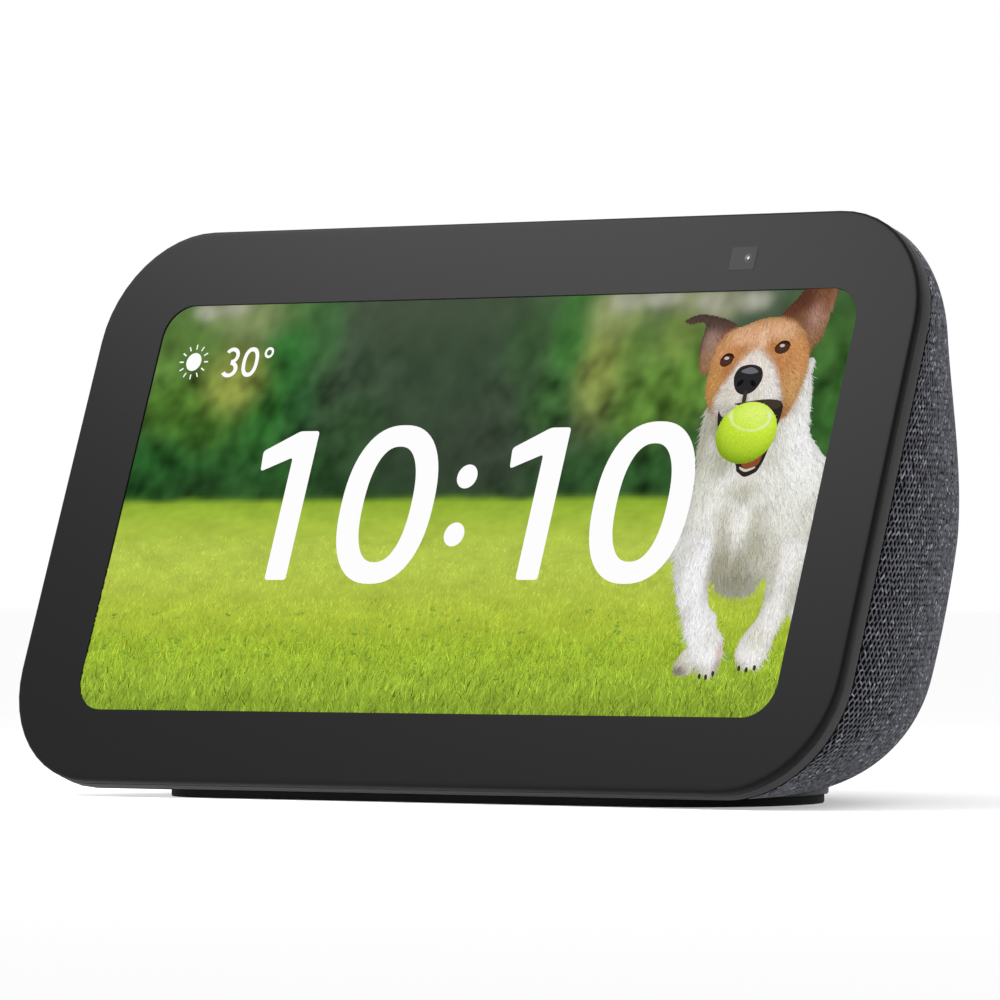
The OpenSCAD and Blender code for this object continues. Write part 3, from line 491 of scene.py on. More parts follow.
class Strokes:
    """Many short tapering blades or hairs, each its own colour, on one level behind the glass."""

    def __init__(self, seed):
        self.chance = np.random.default_rng(seed)
        self.parts = []

    def lay(self, x, y, turn, length, width, colour, depth, tip=1.15, bend=0.3):
        """Blades from (x, y), turned from upright in radians, bending further towards the tip."""
        n = len(x)
        turn, length, width, depth = (
            np.broadcast_to(v, n).astype(float) for v in (turn, length, width, depth))
        rows = []
        px, py, heading = x.copy(), y.copy(), turn.copy()
        for k, share in enumerate((1.0, 0.8, 0.0)):
            side = np.stack([np.cos(heading), -np.sin(heading)])
            half = width / 2 * share
            rows.append((px - side[0] * half, py - side[1] * half))
            if share:
                rows.append((px + side[0] * half, py + side[1] * half))
            px, py = px + np.sin(heading) * length / 2, py + np.cos(heading) * length / 2
            heading = heading + bend
        spots = np.stack([np.stack([r[0], r[1], depth]) for r in rows])
        shade = np.stack([colour * f for f in (1, 1, (1 + tip) / 2, (1 + tip) / 2, tip)])
        self.parts.append((spots, shade))

    def build(self, name):
        spots = np.concatenate([p[0].transpose(2, 0, 1) for p in self.parts])
        shade = np.concatenate([p[1].transpose(1, 0, 2) for p in self.parts])
        n = len(spots)
        flat = spots.reshape(-1, 3)
        start = np.arange(n)[:, None] * 5
        faces = (start + [0, 1, 3, 2]).tolist() + (start + [2, 3, 4]).tolist()
        made = picture_mesh(name, flat, faces, shade.reshape(-1, 3))
        return made


def picture_mesh(name, spots, faces, colours):
    """A lit mesh from (x, y, depth) points measured from the middle of the picture."""
    rise, side = glass_sizes().picture_rise, glass_sizes().picture_side
    spots = np.asarray(spots, float)
    places = (np.array(FOOT) + (spots[:, :1] + side) * MM * np.array((1, 0, 0))
              + (spots[:, 1:2] + rise) * MM * np.array(UP) - spots[:, 2:3] * MM * np.array(OUT))
    tints = np.concatenate([np.clip(colours, 0, 1), np.ones((len(colours), 1))], axis=1)
    return piece(name, places.tolist(), faces, lit_picture(), colours=tints, smooth=False)


def grid(low_x, high_x, low_y, high_y, step):
    """Points and quads of a flat grid."""
    nx, ny = round((high_x - low_x) / step) + 1, round((high_y - low_y) / step) + 1
    x, y = np.meshgrid(np.linspace(low_x, high_x, nx), np.linspace(low_y, high_y, ny))
    corner = (np.arange(ny - 1)[:, None] * nx + np.arange(nx - 1)[None, :]).ravel()
    return x.ravel(), y.ravel(), np.stack([corner, corner + 1, corner + nx + 1, corner + nx], axis=1)


class BuildGarden(bpy.types.Operator):
    """Garden picture: hedge and lawn as a soft ground with blades of grass over it"""

    bl_idname = "display.build_garden"
    bl_label = "Garden picture"

    def execute(self, context):
        half_w, half_h = glass_sizes().picture_w / 2, glass_sizes().picture_h / 2
        x, y, faces = grid(-half_w - 0.4, half_w + 0.4, -half_h - 0.4, half_h + 0.4, 0.5)
        flat = np.stack([x, y, np.full(len(x), GARDEN_DEPTH)], 1)
        ground = picture_mesh("picture_garden", flat, faces.tolist(), garden(x, y))
        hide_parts("lcd_panel")
        grass = Strokes(7)
        chance = grass.chance
        # nearer rows of grass are larger and sharper
        for count, low, high, long, wide, contrast in (
                (3500, -12, -5, 0.5, 0.2, 0.05), (7500, -19, -9, 0.8, 0.17, 0.09),
                (10500, -26, -15, 1.15, 0.13, 0.2), (13500, -32.5, -21, 1.7, 0.13, 0.36)):
            y = chance.uniform(low, high, count)
            x = chance.uniform(-half_w, half_w, count)
            y = y[np.argsort(-y)]
            colour = garden(x, y) * (1 + chance.normal(0, contrast, count))[:, None]
            yellow = chance.uniform(0, 1, count)[:, None] < 0.16
            colour = np.where(yellow, colour * np.array([1.25, 1.12, 1.1]), colour)
            length = long * chance.uniform(0.5, 1.3, count)
            depth = np.linspace(*GRASS_DEPTHS, count)
            turn = chance.normal(0, 0.42, count)
            grass.lay(x, np.maximum(y, -half_h - 0.2), turn, length, wide * chance.uniform(0.6, 1.3, count),
                      colour, depth, 1.2, chance.normal(0, 0.3, count))
        grass.build("picture_grass")
        # weeds: small round leaves low in the lawn
        spots, tints, faces = [], [], []
        for _ in range(90):
            cx, cy = chance.uniform(-half_w, half_w - 5), -21 + chance.normal(0, 2.4)
            if cy > -13 or cy < -half_h:
                continue
            shade = rgb("#86a93a") * chance.uniform(0.75, 1.2)
            for k in range(chance.integers(2, 5)):
                turn = chance.uniform(0, math.tau)
                mx, my = cx + 0.4 * math.cos(turn), cy + 0.28 * math.sin(turn)
                start = len(spots)
                for t in range(8):
                    a = math.tau * t / 8
                    spots.append((mx + 0.32 * math.cos(a), my + 0.2 * math.sin(a), WEED_DEPTH))
                    tints.append(shade * (0.8 + 0.4 * (math.sin(a) > 0)))
                faces.append(tuple(range(start, start + 8)))
        picture_mesh("picture_weeds", spots, faces, np.array(tints))
        return {"FINISHED"}


# ---- clock ------------------------------------------------------------------


def flat_shape(outline, depth, spots, tints, faces, colour):
    """Adds a flat shape with an outline to the lists of a picture mesh."""
    start = len(spots)
    spots += [(px, py, depth) for px, py in outline]
    tints += [colour] * len(outline)
    faces.append(tuple(range(start, start + len(outline))))


def ring_shape(cx, cy, outer, inner, power, depth, spots, tints, faces, colour, steps=64):
    """Adds a band between two superellipses of one middle."""
    start = len(spots)
    for half_w, half_h in (outer, inner):
        for k in range(steps):
            a = math.tau * k / steps
            c, s = math.cos(a), math.sin(a)
            spots.append((cx + half_w * math.copysign(abs(c) ** (2 / power), c),
                          cy + half_h * math.copysign(abs(s) ** (2 / power), s), depth))
            tints.append(colour)
    faces += [(start + k, start + (k + 1) % steps, start + steps + (k + 1) % steps, start + steps + k)
              for k in range(steps)]


def disc(cx, cy, rx, ry, turn=0.0, steps=28):
    """Points round an ellipse."""
    return [(cx + rx * math.cos(a) * math.cos(turn) - ry * math.sin(a) * math.sin(turn),
             cy + rx * math.cos(a) * math.sin(turn) + ry * math.sin(a) * math.cos(turn))
            for a in [math.tau * k / steps for k in range(steps)]]


def soften(corners, r, steps=5):
    """Rounds the corners of an outline with small arcs."""
    out = []
    count = len(corners)
    for k in range(count):
        here, before, after = (Vector(corners[i % count]) for i in (k, k - 1, k + 1))
        back, on = (before - here), (after - here)
        cut = min(r, back.length / 2.2, on.length / 2.2)
        a, b = here + back.normalized() * cut, here + on.normalized() * cut
        for s in range(steps + 1):
            t = s / steps
            out.append(tuple(a * (1 - t) ** 2 + here * 2 * t * (1 - t) + b * t ** 2))
    return out


class BuildClock(bpy.types.Operator):
    """Clock: white digits, a colon, a small sun and the temperature over the picture"""

    bl_idname = "display.build_clock"
    bl_label = "Clock"

    def execute(self, context):
        spots, tints, faces = [], [], []
        white = rgb("#fdfdfd")
        depth = CLOCK_DEPTH
        # the two large ones, each a stem with a flag
        for stem in (-30.3, 15.3):
            one = [(stem + 1.95, -11.4), (stem + 1.95, 11.3), (stem - 1.55, 11.3), (stem - 7.7, 8.3),
                   (stem - 7.4, 5.2), (stem - 1.95, 7.3), (stem - 1.95, -11.4)]
            flat_shape(soften(one, 0.55), depth, spots, tints, faces, white)
        for middle in (-12.8, 32.6):
            ring_shape(middle, 0, (8.4, 12.0), (4.4, 8.75), 2.35, depth, spots, tints, faces, white)
        for dot_y in (4.1, -4.6):
            flat_shape(disc(0.6, dot_y, 1.8, 1.8), depth, spots, tints, faces, white)
        # sun: a disc inside short rays
        sun_x, sun_y = -55.3, 22.4
        flat_shape(disc(sun_x, sun_y, 1.4, 1.4), depth, spots, tints, faces, white)
        for k in range(12):
            a = math.tau * k / 12
            along, side = Vector((math.cos(a), math.sin(a))), Vector((-math.sin(a), math.cos(a)))
            ray = [Vector((sun_x, sun_y)) + along * r + side * w
                   for r, w in ((1.95, -0.11), (2.7, -0.11), (2.7, 0.11), (1.95, 0.11))]
            flat_shape([tuple(p) for p in ray], depth, spots, tints, faces, white)
        # small three: two open bowls; small nought: a narrow ring; the degree sign: a small ring
        for cy, sweep in ((23.25, (150, -90)), (21.15, (90, -150))):
            start = len(spots)
            steps = 20
            wide = 1.2 if cy < 22 else 1.08
            for k in range(steps + 1):
                a = math.radians(sweep[0] + (sweep[1] - sweep[0]) * k / steps)
                for r in (1.28, 0.68):
                    spots.append((-48.2 + r * wide * math.cos(a), cy + r * math.sin(a), depth))
                    tints.append(white)
            faces += [tuple(start + 2 * k + corner for corner in (0, 1, 3, 2)) for k in range(steps)]
        ring_shape(-44.5, 22.2, (1.5, 2.3), (0.85, 1.65), 2.3, depth, spots, tints, faces, white, 40)
        ring_shape(-41.3, 23.6, (0.85, 0.85), (0.45, 0.45), 2, depth, spots, tints, faces, white, 28)
        clock = picture_mesh("picture_clock", spots, faces, np.array(tints))
        return {"FINISHED"}


# ---- dog --------------------------------------------------------------------

# Outlines in mm from the middle of the picture, a few points each, joined by smooth curves
EAR_LEFT = [(33, 27), (35.5, 27.9), (38.5, 27.6), (41.2, 26.8), (42.6, 25.8), (41.8, 23.6), (40.4, 21.3),
            (38.9, 18.7), (37.5, 19.4), (36.9, 21.5), (36.7, 24), (36.9, 26.2), (35.4, 26.7), (34.4, 26.4)]
EAR_RIGHT = [(49.5, 27), (51.6, 29.8), (53.4, 31.6), (58.2, 31.6), (58.3, 29), (57.8, 26.5), (57.5, 24.2),
             (56.5, 22.6), (55.6, 21.2), (53.8, 22.6), (52.0, 25)]
HEAD = [(41, 25.2), (43.4, 26), (46.4, 27), (49.4, 27.3), (52.4, 26.6), (54.8, 24.2), (55.9, 21.4),
        (56, 18.9), (55.5, 16.2), (54.8, 13.8), (53.4, 12), (49, 11), (44, 12), (41.2, 13.2), (39.9, 14.7),
        (39.2, 17), (39.2, 20), (39.6, 23)]
MUZZLE = [(43.1, 18.8), (44.2, 20.8), (46.0, 22.4), (47.8, 22.2), (50.2, 20.2), (51.7, 17.4), (52.6, 15.2),
          (52.4, 13.4), (49, 12.6), (44.5, 12.4), (42, 12.8), (41.3, 14.4), (41.9, 16.8)]
BODY = [(41.6, 15), (40.1, 12), (40.2, 9), (40.4, 6), (40.9, 3), (40.9, 0), (40.6, -3), (40.2, -6),
        (40.1, -8.5), (46.5, -9.2), (47.4, -11.2), (49, -13), (52, -13.6), (54.6, -13.1), (56.4, -10.8),
        (60, -14), (63.2, -15.5), (63.2, 6), (62.4, 6.4), (60, 8.6), (58.6, 10.4), (58.1, 13), (57.6, 16),
        (56.9, 19), (55.6, 21)]
LEG_LEFT = [(40.1, -6), (40.6, -10), (41.6, -13), (43.2, -16), (44.8, -19), (46.1, -21.4), (47.6, -23.8),
            (49.8, -25.4), (51.3, -24.9), (51.9, -23.6), (52.1, -21.8), (51.4, -19.6), (50.2, -18.1),
            (49.6, -16.4), (48.1, -15.2), (47.3, -12.6), (47.2, -9), (46, -5), (42, -4)]
LEG_RIGHT = [(56.3, -9), (56.9, -12.5), (56.7, -16.5), (55.2, -18.8), (54.3, -20.5), (54.2, -22.4),
             (55.3, -24), (57.2, -24.2), (58.9, -23.6), (59.7, -21.8), (60.7, -18), (62.3, -15),
             (63.2, -12), (63, -6), (58, -5)]
PAW_BEHIND = [(45.9, -21.2), (44.8, -22.3), (44.1, -24), (44.6, -25.2), (46.2, -25.3), (47.7, -24.8),
              (47.6, -22.6)]

FUR = {
    "ear_left": ("#5d443b", [(36, 27.2, 3, 1.2, "#4a3d39"), (39.5, 26.6, 2, 1, "#4a3a35"),
        (38.6, 23.6, 1.4, 1.8, "#a5877a"), (38.2, 20.6, 1.2, 1.8, "#a27b56"), (40.6, 23, 1, 2, "#8a5c3c"),
        (36.6, 24.5, 0.5, 3, "#5a4238")]),
    "ear_right": ("#6b4230", [(51, 28.6, 1.4, 1.5, "#5e382a"), (53.4, 29.8, 2, 1.4, "#4b2a22"),
        (56.8, 30, 2, 2, "#7d5238"), (55.6, 27.2, 1.3, 2, "#b98f82"), (56, 24.4, 1.4, 1.8, "#93704c"),
        (53.4, 26, 1.2, 2, "#7d583e"), (57.9, 27, 0.5, 4, "#a98366")]),
    "head": ("#bb8555", [(44.3, 24.6, 2.2, 1.3, "#dcb08e"), (50, 25.2, 2.4, 1.2, "#e0b391"),
        (47.3, 23.4, 0.7, 2, "#e6c4a6"), (41, 22.6, 1.2, 1.8, "#c78f62"), (54, 21.5, 1.6, 2.2, "#c68d5a"),
        (54.4, 16.8, 1.4, 2.6, "#c69a64"), (40.4, 17.2, 1.1, 2.6, "#b98a4e"),
        (42.6, 19.4, 1.2, 1, "#a56d42"), (51.8, 20.6, 1.6, 1, "#b87c4c"), (49.6, 23.2, 1.2, 0.8, "#b47746"),
        (43.6, 22.4, 1.2, 0.8, "#bb7f52"), (53, 13.6, 1.2, 1.4, "#8c6138"), (41.4, 14, 1, 1.4, "#8f6a3e")]),
    "muzzle": ("#ddd5cd", [(44.6, 20.2, 1.4, 1.2, "#ead9cd"), (49, 20.4, 1.4, 1.2, "#e8ddd2"),
        (43.2, 16, 1.2, 1.6, "#c9c5b6"), (50.6, 16.6, 1.4, 1.6, "#e2e0dc"), (46.4, 15.2, 0.5, 1, "#8d857c"),
        (48.4, 16, 1.2, 0.9, "#cfcabd"), (45, 13.6, 3, 0.8, "#9a988a"), (51.6, 14, 0.8, 1, "#8f8a78")]),
    "body": ("#d9d9d4", [(41, 10, 0.9, 5, "#98957c"), (42.8, 12, 1, 1.6, "#7f7a5e"),
        (42.6, 4, 1.6, 4, "#c6c7b9"), (44.5, 6.5, 2, 2, "#97937a"), (49.4, 1.6, 2.2, 1.2, "#aaa68c"),
        (53.5, 8, 2.2, 3, "#c4c3b6"), (55.6, 12, 2, 4, "#e8e8e8"), (57.5, 7, 2.5, 4, "#eeeeee"),
        (60.5, 3.5, 2, 3, "#f0f0ee"), (55, 1, 3, 4, "#deddd4"), (50, -2.6, 1.5, 1.6, "#ecebe6"),
        (47.4, -3.4, 1, 1.6, "#b3af98"), (52.8, -3.4, 1, 1.6, "#aeaa92"), (50.2, -6.6, 0.5, 2.6, "#cfccc0"),
        (46, -2, 3, 4, "#e2e1da"), (41, -4, 1, 4, "#c2c3b6"), (61.5, -3, 2, 6, "#c4c4b6"),
        (51.4, -11.6, 4.6, 2.2, "#66623a"), (50, -8.6, 2.6, 2, "#7f7b54"), (47.8, -6, 1.2, 3, "#8f8b6e"),
        (53.9, -6, 1.6, 2.6, "#938f72"), (46.9, -1.6, 1.2, 1.2, "#a39f88"),
        (53.4, -1.2, 1.4, 1.1, "#a8a48e"), (45.4, 9, 1.4, 1.6, "#8e8a70"), (52.5, 11, 0.9, 2.4, "#a9a48c"),
        (47.4, -9.6, 1, 2, "#9f9c84"), (56.5, -8, 1.6, 3, "#b9b7a2"), (59.5, -7, 2, 5, "#dcdcd4"),
        (54.6, 15.5, 1.2, 3, "#b7a68a"), (43, 11.4, 1.2, 1.6, "#8a8468")]),
    "leg_left": ("#e9e8e8", [(41.4, -10, 1, 4, "#c3c3ba"), (44.6, -10, 1.6, 4, "#eeedf0"),
        (47, -10, 0.8, 3, "#a09b84"), (43, -7, 1, 1.6, "#c8c6bc"), (46.4, -17, 1.3, 2.6, "#ecebee"),
        (44.4, -16.4, 0.8, 2, "#c9c7be"), (49.6, -19.4, 1.2, 1.6, "#dcdad2"),
        (50, -22.6, 1.2, 1.2, "#f4f3f3"), (51.4, -21.6, 0.5, 1, "#c9a79c"),
        (51.5, -23.4, 0.5, 0.8, "#a8857a"), (48.6, -24.4, 1.4, 0.9, "#b8b1a0"),
        (51.6, -24.2, 0.8, 1, "#a59f8a")]),
    "leg_right": ("#dcdbd5", [(60.2, -9, 1.4, 4, "#e6e5e3"), (57.4, -11, 0.9, 4, "#b6b3a0"),
        (58.8, -16.4, 1.4, 2, "#e9e8e6"), (57.2, -19.6, 1.4, 1.6, "#d5d2c4"),
        (56.6, -22.4, 1.6, 1.4, "#efeeec"), (55.2, -23.6, 1, 0.8, "#a8a38e"),
        (61.6, -13, 1, 3, "#b5b3a4")]),
    "paw": ("#c9c5b6", [(45.2, -24.6, 0.9, 0.6, "#4a453a"), (46.4, -22, 1, 0.9, "#dedcd2")]),
}


def smooth_outline(points, steps=5):
    """A closed curve through a few points."""
    out = []
    n = len(points)
    for k in range(n):
        a, b, c, d = (np.array(points[(k + j) % n], float) for j in (-1, 0, 1, 2))
        for s in range(steps):
            t = s / steps
            out.append(0.5 * (2 * b + (c - a) * t + (2 * a - 5 * b + 4 * c - d) * t * t
                              + (3 * b - a - 3 * c + d) * t ** 3))
    return np.array(out)


def depth_inside(x, y, outline):
    """How far each point lies inside a closed outline, negative outside."""
    ax, ay = outline[:, 0][:, None], outline[:, 1][:, None]
    bx, by = np.roll(ax, -1, 0), np.roll(ay, -1, 0)
    dx, dy = bx - ax, by - ay
    t = np.clip(((x - ax) * dx + (y - ay) * dy) / (dx * dx + dy * dy + 1e-12), 0, 1)
    away = np.sqrt(((x - ax - t * dx) ** 2 + (y - ay - t * dy) ** 2).min(0))
    crossed = ((ay > y) != (by > y)) & (x < (bx - ax) * (y - ay) / (by - ay + 1e-12) + ax)
    return np.where(crossed.sum(0) % 2 == 1, away, -away)


# Painted in this order: outline, coat, how soft its edge is, which way its hair lies and how long it is
COATS = (
    (PAW_BEHIND, "paw", 0.25, 3.1, 0.7), (EAR_LEFT, "ear_left", 0.12, 2.9, 0.7),
    (EAR_RIGHT, "ear_right", 0.12, 2.6, 0.8), (BODY, "body", 0.3, 3.0, 1.5),
    (LEG_RIGHT, "leg_right", 0.25, 3.0, 1.0), (LEG_LEFT, "leg_left", 0.25, 3.1, 1.0),
    (HEAD, "head", 0.3, 3.0, 0.75), (MUZZLE, "muzzle", 0.5, 3.3, 0.75),
)


def coat_colours(x, y):
    """The dog's colours, how far inside its outline each point is and the coat that shows there."""
    colour = np.zeros((len(x), 3))
    inside = np.full(len(x), -99.0)
    which = np.zeros(len(x), int)
    for k, (points, name, soft, _, _) in enumerate(COATS):
        depth = depth_inside(x, y, smooth_outline(points))
        ground, spots = FUR[name]
        shade = blend_spots(x, y, spots, np.broadcast_to(rgb(ground), (len(x), 3)), 0.35)
        shade = shade * (1 - 0.28 * np.exp(-np.maximum(depth, 0) / 0.45))[:, None]
        weight = np.clip(0.5 + depth / (2 * soft), 0, 1)[:, None]
        weight = np.where((inside < 0)[:, None] & (depth > 0)[:, None], 1, weight)
        colour = colour * (1 - weight) + shade * weight
        inside = np.maximum(inside, depth)
        which = np.where(depth > 0, k, which)
    return colour, inside, which


def felt_colours(u, v, far):
    """Yellow-green felt at places on the ball from -1 to 1, far from its middle: lit from above."""
    light = np.clip(0.62 + 0.42 * v + 0.12 * u - 0.3 * far ** 4, 0, 1)
    return ramp(light, [(0, "#7d9a1c"), (0.35, "#a9c930"), (0.65, "#c6e43e"), (1, "#e6f98a")])


def seam_gap(u, v):
    """How far places on the ball are from its oval seam."""
    return np.abs(np.hypot((u - 0.02) / 0.66, (v - 0.52 + 0.1 * u) / 0.44) - 1)


class BuildDog(bpy.types.Operator):
    """Dog: a terrier running with a ball, soft colours with hair laid over them"""

    bl_idname = "display.build_dog"
    bl_label = "Dog"

    def execute(self, context):
        x, y, faces = grid(32.5, 63, -26, 31.6, 0.17)
        colour, inside, _ = coat_colours(x, y)
        colour = colour * (1 + cloud(x, y, 1.1, 8) * 0.08)[:, None]
        kept = faces[(inside[faces] > -0.02).all(axis=1)]
        used, new = np.unique(kept, return_inverse=True)
        flat = np.stack([x, y, np.full(len(x), DOG_DEPTH)], 1)
        body = picture_mesh("picture_dog", flat[used], new.reshape(-1, 4).tolist(), colour[used])

        fur = Strokes(11)
        chance = fur.chance
        x, y = chance.uniform(32.5, 62.9, 52000), chance.uniform(-26, 31.4, 52000)
        colour, inside, which = coat_colours(x, y)
        keep = inside > 0.02
        x, y, colour, inside, which = x[keep], y[keep], colour[keep], inside[keep], which[keep]
        lie = np.array([c[3] for c in COATS])[which]
        long = np.array([c[4] for c in COATS])[which]
        white = np.isin(which, [3, 4, 5, 7])
        # hair on the neck fans out to both sides, and on the cheeks it sweeps back
        lie = lie + np.where(which == 3, -(x - 49) * 0.045 * np.clip((y + 6) / 10, 0, 1), 0)
        lie = lie + np.where(which == 6, (x - 47.5) * -0.11, 0)
        lie = lie + np.where(which == 7, (x - 46.6) * -0.22, 0)
        shade = colour * (1 + chance.normal(0, np.where(white, 0.15, 0.24)))[:, None]
        near = inside < 0.5
        turn = lie + chance.normal(0, 0.25, len(x))
        length = long * chance.uniform(0.5, 1.2, len(x)) * np.where(near, 0.55, 1)
        depth = FUR_DEPTH - 0.012 * chance.uniform(0, 1, len(x))
        fur.lay(x, y, turn, length, 0.085 + 0.04 * white, shade, depth, 1.08, chance.normal(0, 0.15, len(x)))
        # loose tufts on the neck, the chest and the back of the legs
        edge = near & np.isin(which, [3, 4, 5])
        ex, ey, shade = x[edge][::3], y[edge][::3], colour[edge][::3] * 1.12
        out = np.sign(ex - 49.5)
        turn = 3.1 - out * 0.5 + chance.normal(0, 0.3, len(ex))
        fur.lay(ex, ey, turn, chance.uniform(0.7, 1.6, len(ex)), 0.09, shade, TUFT_DEPTH, 1.0, -0.2 * out)
        fur.build("picture_fur")

        self.features()
        return {"FINISHED"}

    def features(self):
        """Eyes, nose, mouth, tongue, teeth, claws and the ball."""
        spots, tints, faces = [], [], []

        def shape(outline, depth, colour, smooth=True):
            points = smooth_outline(outline, 4) if smooth else outline
            flat_shape([tuple(p) for p in points], depth, spots, tints, faces, rgb(colour))

        # open mouth around the ball, lower jaw, tongue and teeth
        shape([(42.4, 13.4), (43.5, 12.4), (47, 12.9), (51, 13.9), (52.6, 14.6), (53.3, 13.8), (53.1, 11.4),
               (52.6, 9), (52.2, 7), (51.8, 5.6), (50.9, 4.1), (49.3, 3.5), (47.9, 4.1), (47.2, 5.6), (45, 8),
               (43, 10.6)], 0.09, "#2b2622")
        shape([(47.9, 6.4), (49.7, 6.0), (51.4, 6.8), (51.2, 5.5), (49.9, 4.8), (48.6, 5.1)],
              0.086, "#8b4a2f")
        shape([(48.1, 5.1), (49.3, 4.75), (50.7, 5.1), (50.6, 4.8), (49.3, 4.35), (48.3, 4.7)],
              0.084, "#cfc7b5")
        shape([(47.3, 4.7), (48, 3.7), (49.4, 2.9), (51, 3.6), (51.9, 4.9), (50.9, 4.2), (49.3, 3.6),
               (48.1, 4.2)], 0.083, "#d9d7cd")
        # eyes: dark rim, brown iris, pupil and a glint
        for ex, ey, wide, high, turn in ((41.9, 20.9, 1.05, 0.8, 0.5), (51, 22.6, 1.15, 0.8, 0.15)):
            for share, colour in ((1.12, "#4a2c1b"), (1.0, "#1c1411"), (0.7, "#4a3428"), (0.42, "#0d0b0a")):
                depth = 0.09 - 0.005 * share - 0.01 * (share < 1)
                shape(disc(ex, ey, wide * share, high * share, turn), depth, colour, False)
            # upper lid in shadow, and the sky in the eye
            lid = [(ex - wide * 1.2, ey - 0.1), (ex - wide * 0.4, ey + high * 1.15),
                   (ex + wide * 0.7, ey + high * 1.2), (ex + wide * 1.25, ey + 0.2),
                   (ex + wide * 0.6, ey + high * 0.8), (ex - wide * 0.4, ey + high * 0.75)]
            shape(lid, 0.068, "#2d1a10")
            shape(disc(ex - 0.05, ey + 0.3, 0.42, 0.24), 0.06, "#c9b8be", False)
        # nose: a black pad with two nostrils and a soft light on top
        shape([(43.8, 18.4), (44.5, 19.8), (46.4, 20.2), (48.2, 19.6), (48.7, 18.1), (48.0, 16.6),
               (47.0, 15.9), (45.6, 15.8), (44.4, 16.6)], 0.085, "#29282a")
        shape([(44.8, 19.2), (46.4, 19.8), (47.8, 19.1), (46.4, 18.8)], 0.08, "#6b696d")
        shape(disc(45.1, 17.5, 0.62, 0.36, 0.7), 0.078, "#121112", False)
        shape(disc(47.3, 17.4, 0.62, 0.36, -0.7), 0.078, "#121112", False)
        shape([(46.1, 16.2), (46.6, 16.2), (46.7, 14.6), (46.1, 14.6)], 0.08, "#3a3430")
        # dark lips over the ball
        shape([(44.8, 14.4), (46.4, 14.6), (48.6, 14.9), (51, 15.0), (52.9, 14.6), (52.4, 13.6), (50.6, 13.8),
               (48.4, 14.2), (46.4, 14.1)], 0.082, "#40382f")
        # claws
        for cx, cy in ((49, -25.4), (50.1, -25.5), (51.2, -25), (55.4, -24.2), (56.7, -24.4), (58, -24.1)):
            shape(disc(cx, cy, 0.26, 0.42, 0.2), 0.09, "#3c362c", False)
        made = picture_mesh("picture_features", spots, faces, np.array(tints))

        self.ball()

    def ball(self):
        """A felt sphere lit from above, with its seam."""
        cx, cy, rx, ry = 48, 10.1, 5.1, 4.55
        x, y, quads = grid(cx - rx, cx + rx, cy - ry, cy + ry, 0.2)
        u, v = (x - cx) / rx, (y - cy) / ry
        far = np.sqrt(u * u + v * v)
        colour = felt_colours(u, v, far)
        seam = seam_gap(u, v) * (0.6 + 0.4 * (v < 0.5))
        seam_line = np.exp(-(seam / 0.07) ** 2) * np.clip((0.78 - v) * 5, 0, 1)
        colour = colour + (rgb("#e8eecb") - colour) * seam_line[:, None] * 0.8
        scale = np.minimum(1, 1 / np.maximum(far, 1e-6))
        kept = quads[(far[quads] < 1.045).all(axis=1)]
        used, new = np.unique(kept, return_inverse=True)
        flat = np.stack([cx + rx * u * scale, cy + ry * v * scale, np.full(len(x), BALL_DEPTH)], 1)
        ball = picture_mesh("picture_ball", flat[used], new.reshape(-1, 4).tolist(), colour[used])

        felt = Strokes(5)
        count = 2600
        turn, out = felt.chance.uniform(0, math.tau, count), np.sqrt(felt.chance.uniform(0, 1, count))
        x, y = cx + rx * out * np.cos(turn) * 0.98, cy + ry * out * np.sin(turn) * 0.98
        u, v = (x - cx) / rx, (y - cy) / ry
        colour = felt_colours(u, v, out) * (1 + felt.chance.normal(0, 0.09, count))[:, None]
        keep = seam_gap(u, v) >= 0.09
        felt.lay(x[keep], y[keep], felt.chance.uniform(0, math.tau, keep.sum()), 0.4, 0.09, colour[keep],
                 FELT_DEPTH, 1.1, 0.5)
        felt.build("picture_felt")


# ---- knitted cover ----------------------------------------------------------


def front_depth(z):
    """Depth of the frame's back plane at a height, in mm from the glass's foot."""
    rise = (z - floor_z()) / UP.z
    return rise * UP.y + body_sizes().frame_depth * abs(OUT.y)


def floor_z():
    """Height of the body's underside, in mm."""
    return FOOT.z / MM - body_sizes().frame_depth * OUT.z


def skin(z, phi, inset=0.0):
    """Points on the body's side and back: phi runs from 0 on the right to pi on the left, in mm."""
    sizes = body_sizes()
    r, depth = sizes.corner, (BODY_HIGH.y - FOOT.y) / MM
    rise = (z - floor_z()) / UP.z
    corner = np.where(rise < r, r - rise, np.maximum(0, rise - (GLASS_H - r)))
    half = GLASS_W / 2 - r + np.sqrt(np.maximum(0, (r - inset) ** 2 - corner ** 2))
    low, high, mid = floor_z() + inset, BODY_HIGH.z / MM - inset, sizes.bulge_height
    above, below = np.clip((z - mid) / (high - mid), 0, 1), np.clip((mid - z) / (mid - low), 0, 1)
    upper = sizes.top_depth - 0.3 * inset
    upper = upper + (depth - inset - upper) * (1 - above ** 1.8)
    reach = depth - inset - sizes.under_depth
    lower = sizes.under_depth + reach * np.maximum(0, 1 - below ** 1.4) ** (1 / 3.7)
    back = np.where(z > mid, upper, lower)
    front = front_depth(z)
    power = 1.32 - 0.12 * below ** 2
    y = front + (back - front) * np.maximum(np.sin(phi), 0) ** power
    return np.stack([half * np.cos(phi), y + FOOT.y / MM, z + 0 * phi], axis=-1)


def even(curve, count):
    """Parameters that space points evenly along a curve given by closely set points."""
    run = np.concatenate([[0], np.cumsum(np.linalg.norm(np.diff(curve, axis=0), axis=1))])
    return np.interp(np.linspace(0, run[-1], count), run, np.linspace(0, 1, len(curve))), run[-1]


